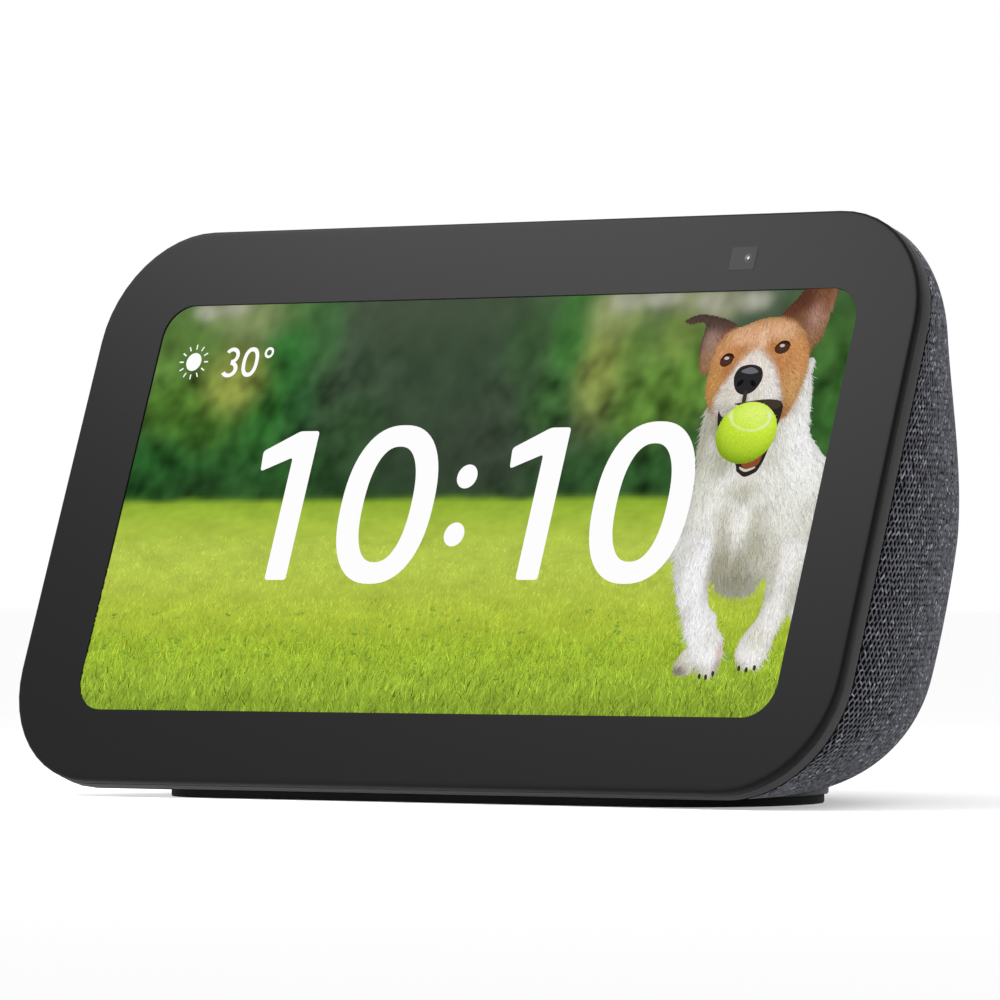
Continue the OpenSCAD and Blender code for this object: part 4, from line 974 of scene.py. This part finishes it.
def threads(a, b, normal, half, lift, shades):
    """Roof-shaped ribbons from points a to points b: six points and two quads each."""
    along = b - a
    side = np.cross(along, normal)
    side = side / np.maximum(np.linalg.norm(side, axis=1), 1e-9)[:, None] * half
    rows = []
    for end in (a, b):
        rows += [end - side, end + normal * lift, end + side]
    points = np.stack(rows, axis=1).reshape(-1, 3)
    start = np.arange(len(a))[:, None] * 6
    faces = np.concatenate([start + [0, 1, 4, 3], start + [1, 2, 5, 4]])
    tint = np.repeat(shades, 6, axis=0).reshape(-1, 6, 3).copy()
    return points, faces, tint


def lattice(rows, columns):
    """Row and column of each crossing of a net, and the pairs of crossings that slanted threads join."""
    i, j = np.meshgrid(np.arange(rows + 1), np.arange(columns + 1), indexing="ij")
    key = i * (columns + 1) + j
    across = np.clip(j[:-1] + np.where(i[:-1] % 2 == 0, -1, 1), 0, columns)
    straight = np.stack([key[:-1], key[1:]], -1).reshape(-1, 2)
    slanted = np.stack([key[:-1], (i[:-1] + 1) * (columns + 1) + across], -1).reshape(-1, 2)
    return i, j, np.concatenate([straight, slanted])


class BuildKnit(bpy.types.Operator):
    """Knitted cover: a near-black sheet of painted shade under an open net of yarn, with rolled hems"""

    bl_idname = "display.build_knit"
    bl_label = "Knitted cover"

    def execute(self, context):
        sizes = body_sizes()
        cad = NODES["fabric_cover"].data
        mesh = cad.copy()
        for v, bare in zip(mesh.vertices, cad.vertices):
            v.co = bare.co - bare.normal * 0.3 * MM
        mesh.materials.clear()
        # the lower layer of the knit, painted near-black: painted shade that stands for the shadow in the
        # holes of the net
        mesh.materials.append(finish("knit_backing_painted_shade", "#050506", 0.95, grain=0.3, relief=0.05, shift=0.5,
                                     Specular_IOR_Level=0.05))
        backing = bpy.data.objects.new("knit_backing_painted_shade", mesh)
        context.scene.collection.objects.link(backing)
        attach(backing, "housing")
        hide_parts("fabric_cover")

        strip = self.strip_outline()
        foot = outline_of("rubber_foot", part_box("rubber_foot")[0].z)
        inlet_low, inlet_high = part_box("inlet_bezel")
        inlet = ((inlet_low.x + inlet_high.x) / 2, (inlet_low.z + inlet_high.z) / 2,
                 (inlet_high.x - inlet_low.x) / 2 + 0.25 * MM)
        pieces = self.wall_net(inlet)
        pieces += self.flat_nets(strip, foot)
        pieces += self.hems(strip, inlet)
        return {"FINISHED"}

    def strip_outline(self):
        """The stadium round the top strip, in metres."""
        low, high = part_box("top_strip")
        tops = [v.co for v in NODES["top_strip"].data.vertices if v.co.z > high.z - 2e-5]
        x0, x1 = min(p.x for p in tops), max(p.x for p in tops)
        y0, y1 = min(p.y for p in tops), max(p.y for p in tops)
        r = (y1 - y0) / 2
        turns = [math.pi * k / 16 for k in range(17)]
        right = [(x1 - r + r * math.sin(t), (y0 + y1) / 2 - r * math.cos(t)) for t in turns]
        left = [(x0 + r - r * math.sin(t), (y0 + y1) / 2 + r * math.cos(t)) for t in turns]
        return right + left

    def yarn(self, chance, count):
        """Yarn colours: most bundles mid grey, some painted nearly white as painted highlights where bundles
        would catch the light.
        """
        grey = np.abs(chance.normal(0.95, 0.32, count))[:, None] * np.ones(3)
        bright = chance.uniform(0, 1, count)[:, None] < 0.09
        return np.where(bright, grey * 2.3, grey) * 0.9

    def net(self, name, nodes, normals, edges, chance):
        """One net piece from its nodes and the pairs of nodes that threads join."""
        half, lift = body_sizes().thread / 2 * MM, 0.2 * MM
        a, b = nodes[edges[:, 0]], nodes[edges[:, 1]]
        normal = (normals[edges[:, 0]] + normals[edges[:, 1]]) / 2
        points, faces, tint = threads(a, b, normal, half, lift, self.yarn(chance, len(edges)))
        # painted shade and highlight: the flanks of each bundle are darkened as painted shade, and its ridge
        # is brightened as a painted highlight
        tint[:, (0, 2, 3, 5)] *= 0.55
        tint[:, (1, 4)] *= 1.15
        colours = np.concatenate([tint.reshape(-1, 3), np.ones((len(points), 1))], 1)
        made = piece(name, points.tolist(), faces.tolist(), knitted_polyester(), colours=colours,
                     smooth=False)
        return made

    def wall_net(self, inlet):
        """The net on the sides and back in four pieces, open round the inlet."""
        sizes = body_sizes()
        low, high = floor_z() + 0.25, BODY_HIGH.z / MM - 0.15
        fine = np.linspace(low, high, 900)
        around = np.linspace(0, math.pi, 1500)
        profile = skin(fine, np.full(900, math.radians(38)))
        share, run = even(profile, 3)
        rows = round(run / (sizes.cell_h / 2)) // 2 * 2
        share, _ = even(profile, rows + 1)
        heights = low + (high - low) * share
        ring = skin(np.full(1500, sizes.bulge_height), around)
        share, run = even(ring, 3)
        columns = round(run / sizes.cell_w)
        share, _ = even(ring, 2 * columns + 1)
        phis = math.pi * share
        chance = np.random.default_rng(3)
        i, j, pairs = lattice(rows, columns)
        half_step = np.clip(2 * j + (i % 2), 0, 2 * columns)
        z, phi = heights[i], phis[half_step]
        # each crossing is a short upright bar of two twisted bundles, so the holes are six-sided
        bar = 0.17 * np.gradient(heights)[i]
        slip = chance.normal(0, 0.075, (2, *z.shape))
        free = (half_step > 0) & (half_step < 2 * columns)
        phi = np.clip(phi + slip[0] * math.pi / run * free, 0, math.pi)
        spots = np.stack([skin(np.clip(z + slip[1] + side * bar, low, high), phi, 0.28) for side in (-1, 1)])
        normals = self.outward(z, phi, low, high)
        spots = spots.reshape(-1, 3) * MM
        normals = np.concatenate([normals, normals])
        count = (rows + 1) * (columns + 1)
        lower = np.arange(count)
        bars = np.stack([lower, lower + count], -1)
        edges = np.concatenate([pairs + [count, 0], bars])
        middle = (spots[edges[:, 0]] + spots[edges[:, 1]]) / 2
        long = np.linalg.norm(spots[edges[:, 0]] - spots[edges[:, 1]], axis=1)
        from_inlet = np.hypot(middle[:, 0] - inlet[0], middle[:, 2] - inlet[1])
        keep = (from_inlet > inlet[2]) | (middle[:, 1] < 0)
        keep &= (long > 0.05 * MM) & (long < 3 * MM)
        edges, middle = edges[keep], middle[keep]
        made = []
        for k, (west, low_half) in enumerate(((0, 0), (0, 1), (1, 0), (1, 1))):
            below = middle[:, 2] < sizes.bulge_height * MM
            part = ((middle[:, 0] < 0) == bool(west)) & (below == bool(low_half))
            used, new = np.unique(edges[part], return_inverse=True)
            pairs = new.reshape(-1, 2)
            made.append(self.net(f"knit_wall_{k + 1}", spots[used], normals[used], pairs, chance))
        return made

    def outward(self, z, phi, low, high):
        """Unit normals of the body at places given by height and angle."""
        right = skin(z, np.minimum(phi + 0.002, math.pi)) - skin(z, np.maximum(phi - 0.002, 0))
        above = skin(np.minimum(z + 0.05, high), phi) - skin(np.maximum(z - 0.05, low), phi)
        found = np.cross(right, above).reshape(-1, 3)
        found /= np.maximum(np.linalg.norm(found, axis=1), 1e-9)[:, None]
        away = skin(z, phi).reshape(-1, 3) - np.array((0, -20, 40))
        return found * np.where((found * away).sum(1) < 0, -1, 1)[:, None]

    def flat_nets(self, strip, foot):
        """Nets on the flat top round the strip and under the body round the foot."""
        sizes = body_sizes()
        made = []
        turns = np.linspace(0, math.pi, 200)
        for name, z, up, hole, seed in (("knit_top", BODY_HIGH.z / MM - 0.02, 1, strip, 21),
                                        ("knit_under", floor_z() + 0.02, -1, foot, 22)):
            edge = skin(np.full(200, z), turns)[:, :2] * MM
            edge = [tuple(p) for p in edge]
            chance = np.random.default_rng(seed)
            low_y, high_y = min(p[1] for p in edge), max(p[1] for p in edge)
            rows = round((high_y - low_y) / (sizes.cell_h / 2 * MM)) + 1
            columns = round(GLASS_W / sizes.cell_w)
            i, j, edges = lattice(rows, columns)
            x = (j + 0.5 * (i % 2) - columns / 2) * sizes.cell_w * MM
            y = low_y + i * sizes.cell_h / 2 * MM
            x, y = x.ravel(), y.ravel()
            x = x + chance.normal(0, 0.03 * MM, x.shape)
            y = y + chance.normal(0, 0.03 * MM, y.shape)
            rim = np.array(edge)
            allowed = (depth_inside(x, y, rim) > 0) & (depth_inside(x, y, np.array(hole)) < -0.1 * MM)
            flat = np.stack([x, y], 1)
            keep = allowed[edges].all(axis=1)
            keep &= np.hypot(*(flat[edges[:, 0]] - flat[edges[:, 1]]).T) < 1.6 * MM
            edges = edges[keep]
            spots = np.stack([x, y, np.full(len(x), (z - up * 0.28) * MM)], 1)
            normals = np.zeros((len(x), 3)) + (0, 0, up)
            used, new = np.unique(edges, return_inverse=True)
            made.append(self.net(name, spots[used], normals[used], new.reshape(-1, 2), chance))
        return made

    def hems(self, strip, inlet):
        """Rolled edges of the cover round the strip and the inlet."""
        # folded and stitched yarn: the same polyester, drawn tight
        tight = finish("stitched_hem", "#3b3c42", 0.85, grain=0.25, relief=0.05, shift=0.4, Sheen_Weight=0.2)
        made = []
        top = BODY_HIGH.z
        path = [Vector((px, py, top - 0.1 * MM)) for px, py in strip]
        points, faces = tube(path, 0.32 * MM, 8)
        made.append(piece("knit_hem_top", points, faces, tight))
        rim = []
        for k in range(40):
            a = math.tau * k / 40
            px, pz = inlet[0] + inlet[2] * math.cos(a), inlet[1] + inlet[2] * math.sin(a)
            rim.append(self.on_back(px, pz))
        points, faces = tube(rim, 0.3 * MM, 8)
        made.append(piece("knit_hem_inlet", points, faces, tight))
        return [m for m in made]

    def on_back(self, x, z):
        """The point of the back at a sideways place and a height, in metres."""
        phis = np.linspace(0.2, math.pi - 0.2, 2000)
        row = skin(np.full(2000, z / MM), phis, 0.15)
        return Vector(row[np.abs(row[:, 0] - x / MM).argmin()]) * MM


# ---- housing and inner pieces -----------------------------------------------

# Node or nodes, name of the real material, colour, roughness, metallic, grain and relief in mm, colour shift.
# Moulded plastics have a fine spark-eroded grain, rubbers are duller and coarser, rolled and plated metals
# shine with a faint mottle, boards and foils are glossy, papers and cloths are rough and uneven.
FINISHES = (
    ("glass_adhesive", "acrylic_foam_tape", "#1c1c1d", 0.9, 0, 0.4, 0.03, 0.3),
    ("front_frame", "moulded_pc_abs", "#161617", 0.6, 0, 0.3, 0.004, 0.06),
    ("backlight", "moulded_acrylic_diffuser", "#e9e8e2", 0.3, 0, 0.8, 0.002, 0.03),
    ("display_bracket speaker_back_plate speaker_top_plate", "zinc_plated_steel", "#b6b9bd", 0.35, 1, 1.5,
     0.004, 0.12),
    ("bracket_screws shell_screws board_screws speaker_screws", "zinc_plated_screw_steel", "#9b9da2", 0.3,
     1, 0.8, 0.004, 0.15),
    ("rear_shell", "moulded_abs_dark", "#222327", 0.62, 0, 0.35, 0.008, 0.12),
    ("base_plate", "moulded_abs_base", "#222326", 0.6, 0, 0.35, 0.008, 0.12),
    ("top_strip", "moulded_pc_abs_strip", "#2b2c2f", 0.5, 0, 0.3, 0.004, 0.08),
    ("mute_key volume_down_key volume_up_key", "moulded_pc_key", "#37383b", 0.42, 0, 0.3, 0.003, 0.08),
    ("key_switches", "stainless_steel_dome", "#c7c6c1", 0.28, 1, 0.6, 0.003, 0.12),
    ("top_board main_board wireless_module", "solder_masked_glass_epoxy", "#17523a", 0.35, 0, 0.5,
     0.006, 0.2),
    ("microphones", "gold_plated_can", "#c2b78c", 0.28, 1, 0.3, 0.002, 0.1),
    ("microphone_gaskets speaker_gasket", "closed_cell_foam", "#1b1b1b", 0.95, 0, 0.3, 0.05, 0.4),
    ("camera_module", "moulded_lcp_black", "#141414", 0.55, 0, 0.25, 0.003, 0.15),
    ("camera_lens", "coated_lens_glass", "#20242e", 0.06, 0, 0.4, 0.0005, 0.3),
    ("camera_bracket", "moulded_abs_bracket", "#1d1d1f", 0.6, 0, 0.3, 0.006, 0.12),
    ("shutter_blade", "printed_white_film", "#e4e4e1", 0.6, 0, 0.4, 0.002, 0.04),
    ("shutter_knob", "moulded_pom_white", "#dcdcd8", 0.45, 0, 0.3, 0.003, 0.04),
    ("light_sensor", "clear_epoxy_package", "#d6d2bd", 0.12, 0, 0.3, 0.001, 0.1),
    ("shield_cans", "tinned_nickel_silver", "#c2c4c7", 0.32, 1, 1.2, 0.004, 0.1),
    ("memory_chips", "epoxy_moulding_compound", "#161618", 0.6, 0, 0.15, 0.004, 0.3),
    ("board_connectors", "natural_nylon", "#e3dfd0", 0.5, 0, 0.4, 0.003, 0.06),
    ("thermal_pad", "filled_silicone_pad", "#8090a2", 0.85, 0, 0.3, 0.02, 0.15),
    ("heat_spreader", "rolled_aluminium", "#c4c6c9", 0.38, 1, 2.0, 0.004, 0.08),
    ("antennas", "copper_foil_laminate", "#c59b55", 0.35, 1, 0.8, 0.004, 0.15),
    ("display_flex camera_flex key_flex", "polyimide_flex", "#b06e2b", 0.35, 0, 0.6, 0.003, 0.2),
    ("speaker_enclosure", "moulded_abs_speaker_box", "#38393b", 0.6, 0, 0.4, 0.01, 0.12),
    ("speaker_grille", "moulded_grille_plastic", "#191a1c", 0.6, 0, 0.3, 0.006, 0.12),
    ("speaker_basket", "black_painted_steel", "#4a4c4e", 0.42, 0, 0.5, 0.006, 0.15),
    ("speaker_magnet", "sintered_ferrite", "#2d2d2f", 0.65, 0, 0.25, 0.01, 0.25),
    ("speaker_spider", "resin_dipped_cotton", "#bfa673", 0.9, 0, 0.35, 0.06, 0.25),
    ("speaker_cone", "pressed_paper_cone", "#242426", 0.85, 0, 0.4, 0.03, 0.35),
    ("speaker_dust_cap", "pressed_paper_cap", "#1b1b1c", 0.8, 0, 0.3, 0.03, 0.35),
    ("speaker_voice_coil", "enamelled_copper_wire", "#a9682a", 0.35, 1, 0.2, 0.02, 0.2),
    ("speaker_surround", "butyl_rubber", "#161617", 0.6, 0, 0.5, 0.01, 0.2),
    ("speaker_wires inlet_wires", "pvc_wire_sleeve", "#972822", 0.45, 0, 0.4, 0.004, 0.12),
    ("inlet_jack", "moulded_pbt_jack", "#131313", 0.45, 0, 0.3, 0.004, 0.15),
    ("inlet_pin", "nickel_plated_brass", "#cbc8bd", 0.2, 1, 0.4, 0.002, 0.1),
    ("inlet_bezel", "moulded_pc_bezel", "#26272a", 0.5, 0, 0.3, 0.004, 0.1),
)
# Edge rounding of the pieces that can be seen from outside
EDGES = {
    "front_frame": 0.22, "rubber_foot": 0.55, "top_strip": 0.2, "mute_key": 0.18, "volume_down_key": 0.18,
    "volume_up_key": 0.18, "shutter_knob": 0.15, "inlet_bezel": 0.25, "base_plate": 0.2,
}
# The body that each key's mark rides on
KEY_BODIES = {
    "mute_key": "mute_key_body", "volume_down_key": "volume_down_body", "volume_up_key": "volume_up_body",
}


class FinishNodes(bpy.types.Operator):
    """Finishes: real materials and rounded edges for the frame's own pieces"""

    bl_idname = "display.finish_nodes"
    bl_label = "Finishes"

    def execute(self, context):
        # moulded silicone rubber: black, with next to no shine
        rubber = finish("moulded_silicone_rubber", "#0a0a0a", 0.8, grain=0.5, relief=0.006, shift=0.12,
                        Specular_IOR_Level=0.12)
        given = [("rubber_foot", rubber)]
        for names, real, colour, rough, metal, grain, relief, shift in FINISHES:
            given.append((names, finish(real, colour, rough, metal, grain, relief, shift)))
        for names, made in given:
            for name in names.split():
                NODES[name].data.materials.clear()
                NODES[name].data.materials.append(made)
        for name, width in EDGES.items():
            weld = NODES[name].modifiers.new("joined_faces", "WELD")
            weld.merge_threshold = 0.002 * MM
            bevel = NODES[name].modifiers.new("soft_edge", "BEVEL")
            bevel.width, bevel.segments = width * MM, 3
            bevel.limit_method, bevel.angle_limit = "ANGLE", math.radians(40)
            bevel.use_clamp_overlap = True
            bevel.harden_normals = True
            NODES[name].data.shade_smooth()
            NODES[name].data.set_sharp_from_angle(angle=math.radians(35))
        return {"FINISHED"}


class BuildMarks(bpy.types.Operator):
    """Key marks: a minus, a plus and a struck circle moulded on the keys"""

    bl_idname = "display.build_marks"
    bl_label = "Key marks"

    def execute(self, context):
        # pad-printed marks stand a hair above the plastic, pale grey
        paint = finish("pad_printed_ink", "#b9bbbd", 0.5, grain=0.2, relief=0.002, shift=0.08)
        bars = {"volume_down_key": ((2.0, 0.36, 0),), "volume_up_key": ((2.0, 0.36, 0), (0.36, 2.0, 0)),
                "mute_key": ((2.5, 0.34, 45),)}
        for node, marks in bars.items():
            low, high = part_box(node)
            tops = [v.co for v in NODES[node].data.vertices if v.co.z > high.z - 0.3 * MM]
            x = (min(p.x for p in tops) + max(p.x for p in tops)) / 2
            y = (min(p.y for p in tops) + max(p.y for p in tops)) / 2
            points, faces = [], []
            for long, wide, turn in marks:
                a = math.radians(turn)
                start = len(points)
                for z in (high.z - 0.02 * MM, high.z + 0.03 * MM):
                    for sx, sy in ((-1, -1), (1, -1), (1, 1), (-1, 1)):
                        dx, dy = sx * long / 2 * MM, sy * wide / 2 * MM
                        points.append(Vector((x + dx * math.cos(a) - dy * math.sin(a),
                                              y + dx * math.sin(a) + dy * math.cos(a), z)))
                faces += [tuple(start + k for k in f) for f in (
                    (3, 2, 1, 0), (4, 5, 6, 7), (0, 1, 5, 4), (1, 2, 6, 5), (2, 3, 7, 6), (3, 0, 4, 7))]
            if node == "mute_key":
                ring = [Vector((x + 1.25 * MM * math.cos(t), y + 1.25 * MM * math.sin(t), high.z))
                        for t in [math.tau * k / 40 for k in range(40)]]
                more, quads = tube(ring, 0.15 * MM, 6)
                faces += [tuple(len(points) + k for k in f) for f in quads]
                points += more
            made = piece(node.replace("key", "mark"), points, faces, paint, body=KEY_BODIES[node],
                         smooth=False)
        return {"FINISHED"}


# ---- stage, panel and order -------------------------------------------------


class BuildStage(bpy.types.Operator):
    """Stage: camera, pale floor and soft studio light"""

    bl_idname = "display.build_stage"
    bl_label = "Stage"

    def execute(self, context):
        scene = context.scene
        sizes = scene.display_stage
        camera = bpy.data.objects.new("camera", bpy.data.cameras.new("camera"))
        scene.collection.objects.link(camera)
        camera.data.lens = sizes.lens
        camera.data.sensor_width = 36
        camera.data.clip_end = 20
        camera.location = sizes.camera_place
        camera.rotation_euler = (math.radians(90) + sizes.pitch, 0, sizes.azimuth)
        scene.camera = camera
        scene.view_settings.view_transform = "Standard"

        world = bpy.data.worlds.new("studio_air")
        world.use_nodes = True
        world.node_tree.nodes["Background"].inputs["Color"].default_value = linear("#ffffff")
        world.node_tree.nodes["Background"].inputs["Strength"].default_value = 1.0
        scene.world = world

        white = bpy.data.materials.new("paper_sweep")
        white.use_nodes = True
        shader = white.node_tree.nodes["Principled BSDF"]
        shader.inputs["Base Color"].default_value = linear("#fbfbfb")
        shader.inputs["Roughness"].default_value = 0.9
        shader.inputs["Specular IOR Level"].default_value = 0.1
        mesh = bpy.data.meshes.new("floor")
        half = 6.0  # in metres, so that the floor runs out of every view
        corners = [(-half, -half, 0), (half, -half, 0), (half, half, 0), (-half, half, 0)]
        mesh.from_pydata(corners, [], [(0, 1, 2, 3)])
        mesh.materials.append(white)
        floor = bpy.data.objects.new("floor", mesh)
        scene.collection.objects.link(floor)

        # a soft lamp close above the front edge, and a weaker fill from the same side that casts no shadow
        for name, place, aim, wide, high, power, shadow in (
                ("front_light", (-0.09, -0.1, 0.18), (-0.03, 0, 0.06), 0.2, 0.06, 0.42, True),
                ("fill_light", (-0.09, -0.1, 0.18), (-0.03, 0, 0.06), 0.16, 0.05, 0.32, False),
        ):
            light = bpy.data.objects.new(name, bpy.data.lights.new(name, "AREA"))
            light.data.shape, light.data.size, light.data.size_y = "RECTANGLE", wide, high
            light.data.energy = power
            light.data.use_shadow = shadow
            light.location = place
            light.rotation_euler = (Vector(aim) - Vector(place)).to_track_quat("-Z", "Y").to_euler()
            scene.collection.objects.link(light)
        return {"FINISHED"}


class DisplayPanel(bpy.types.Panel):
    """Lists the builders in the sidebar"""

    bl_idname = "VIEW3D_PT_display"
    bl_label = "Smart display"
    bl_space_type = "VIEW_3D"
    bl_region_type = "UI"
    bl_category = "Smart display"

    def draw(self, context):
        for operator in OPERATORS:
            self.layout.operator(operator.bl_idname)
        for group in GROUPS:
            sizes = getattr(context.scene, group)
            for key in sizes.__annotations__:
                self.layout.prop(sizes, key)


OPERATORS = (BuildStage, BuildGlass, BuildWindow, BuildGarden, BuildClock, BuildDog, BuildKnit, FinishNodes,
             BuildMarks)
GROUPS = {"display_glass": DisplayGlass, "display_body": DisplayBody, "display_stage": DisplayStage}


def register():
    for group in (*GROUPS.values(), *OPERATORS, DisplayPanel):
        bpy.utils.register_class(group)
    for key, group in GROUPS.items():
        setattr(bpy.types.Scene, key, bpy.props.PointerProperty(type=group))


def unregister():
    for key in GROUPS:
        delattr(bpy.types.Scene, key)
    for group in (DisplayPanel, *OPERATORS[::-1], *GROUPS.values()):
        bpy.utils.unregister_class(group)


def main():
    register()
    bpy.ops.display.build_stage()
    bpy.ops.display.build_glass()
    bpy.ops.display.build_window()
    bpy.ops.display.build_garden()
    bpy.ops.display.build_clock()
    bpy.ops.display.build_dog()
    bpy.ops.display.build_knit()
    bpy.ops.display.finish_nodes()
    bpy.ops.display.build_marks()


if __name__ == "__main__":
    main()
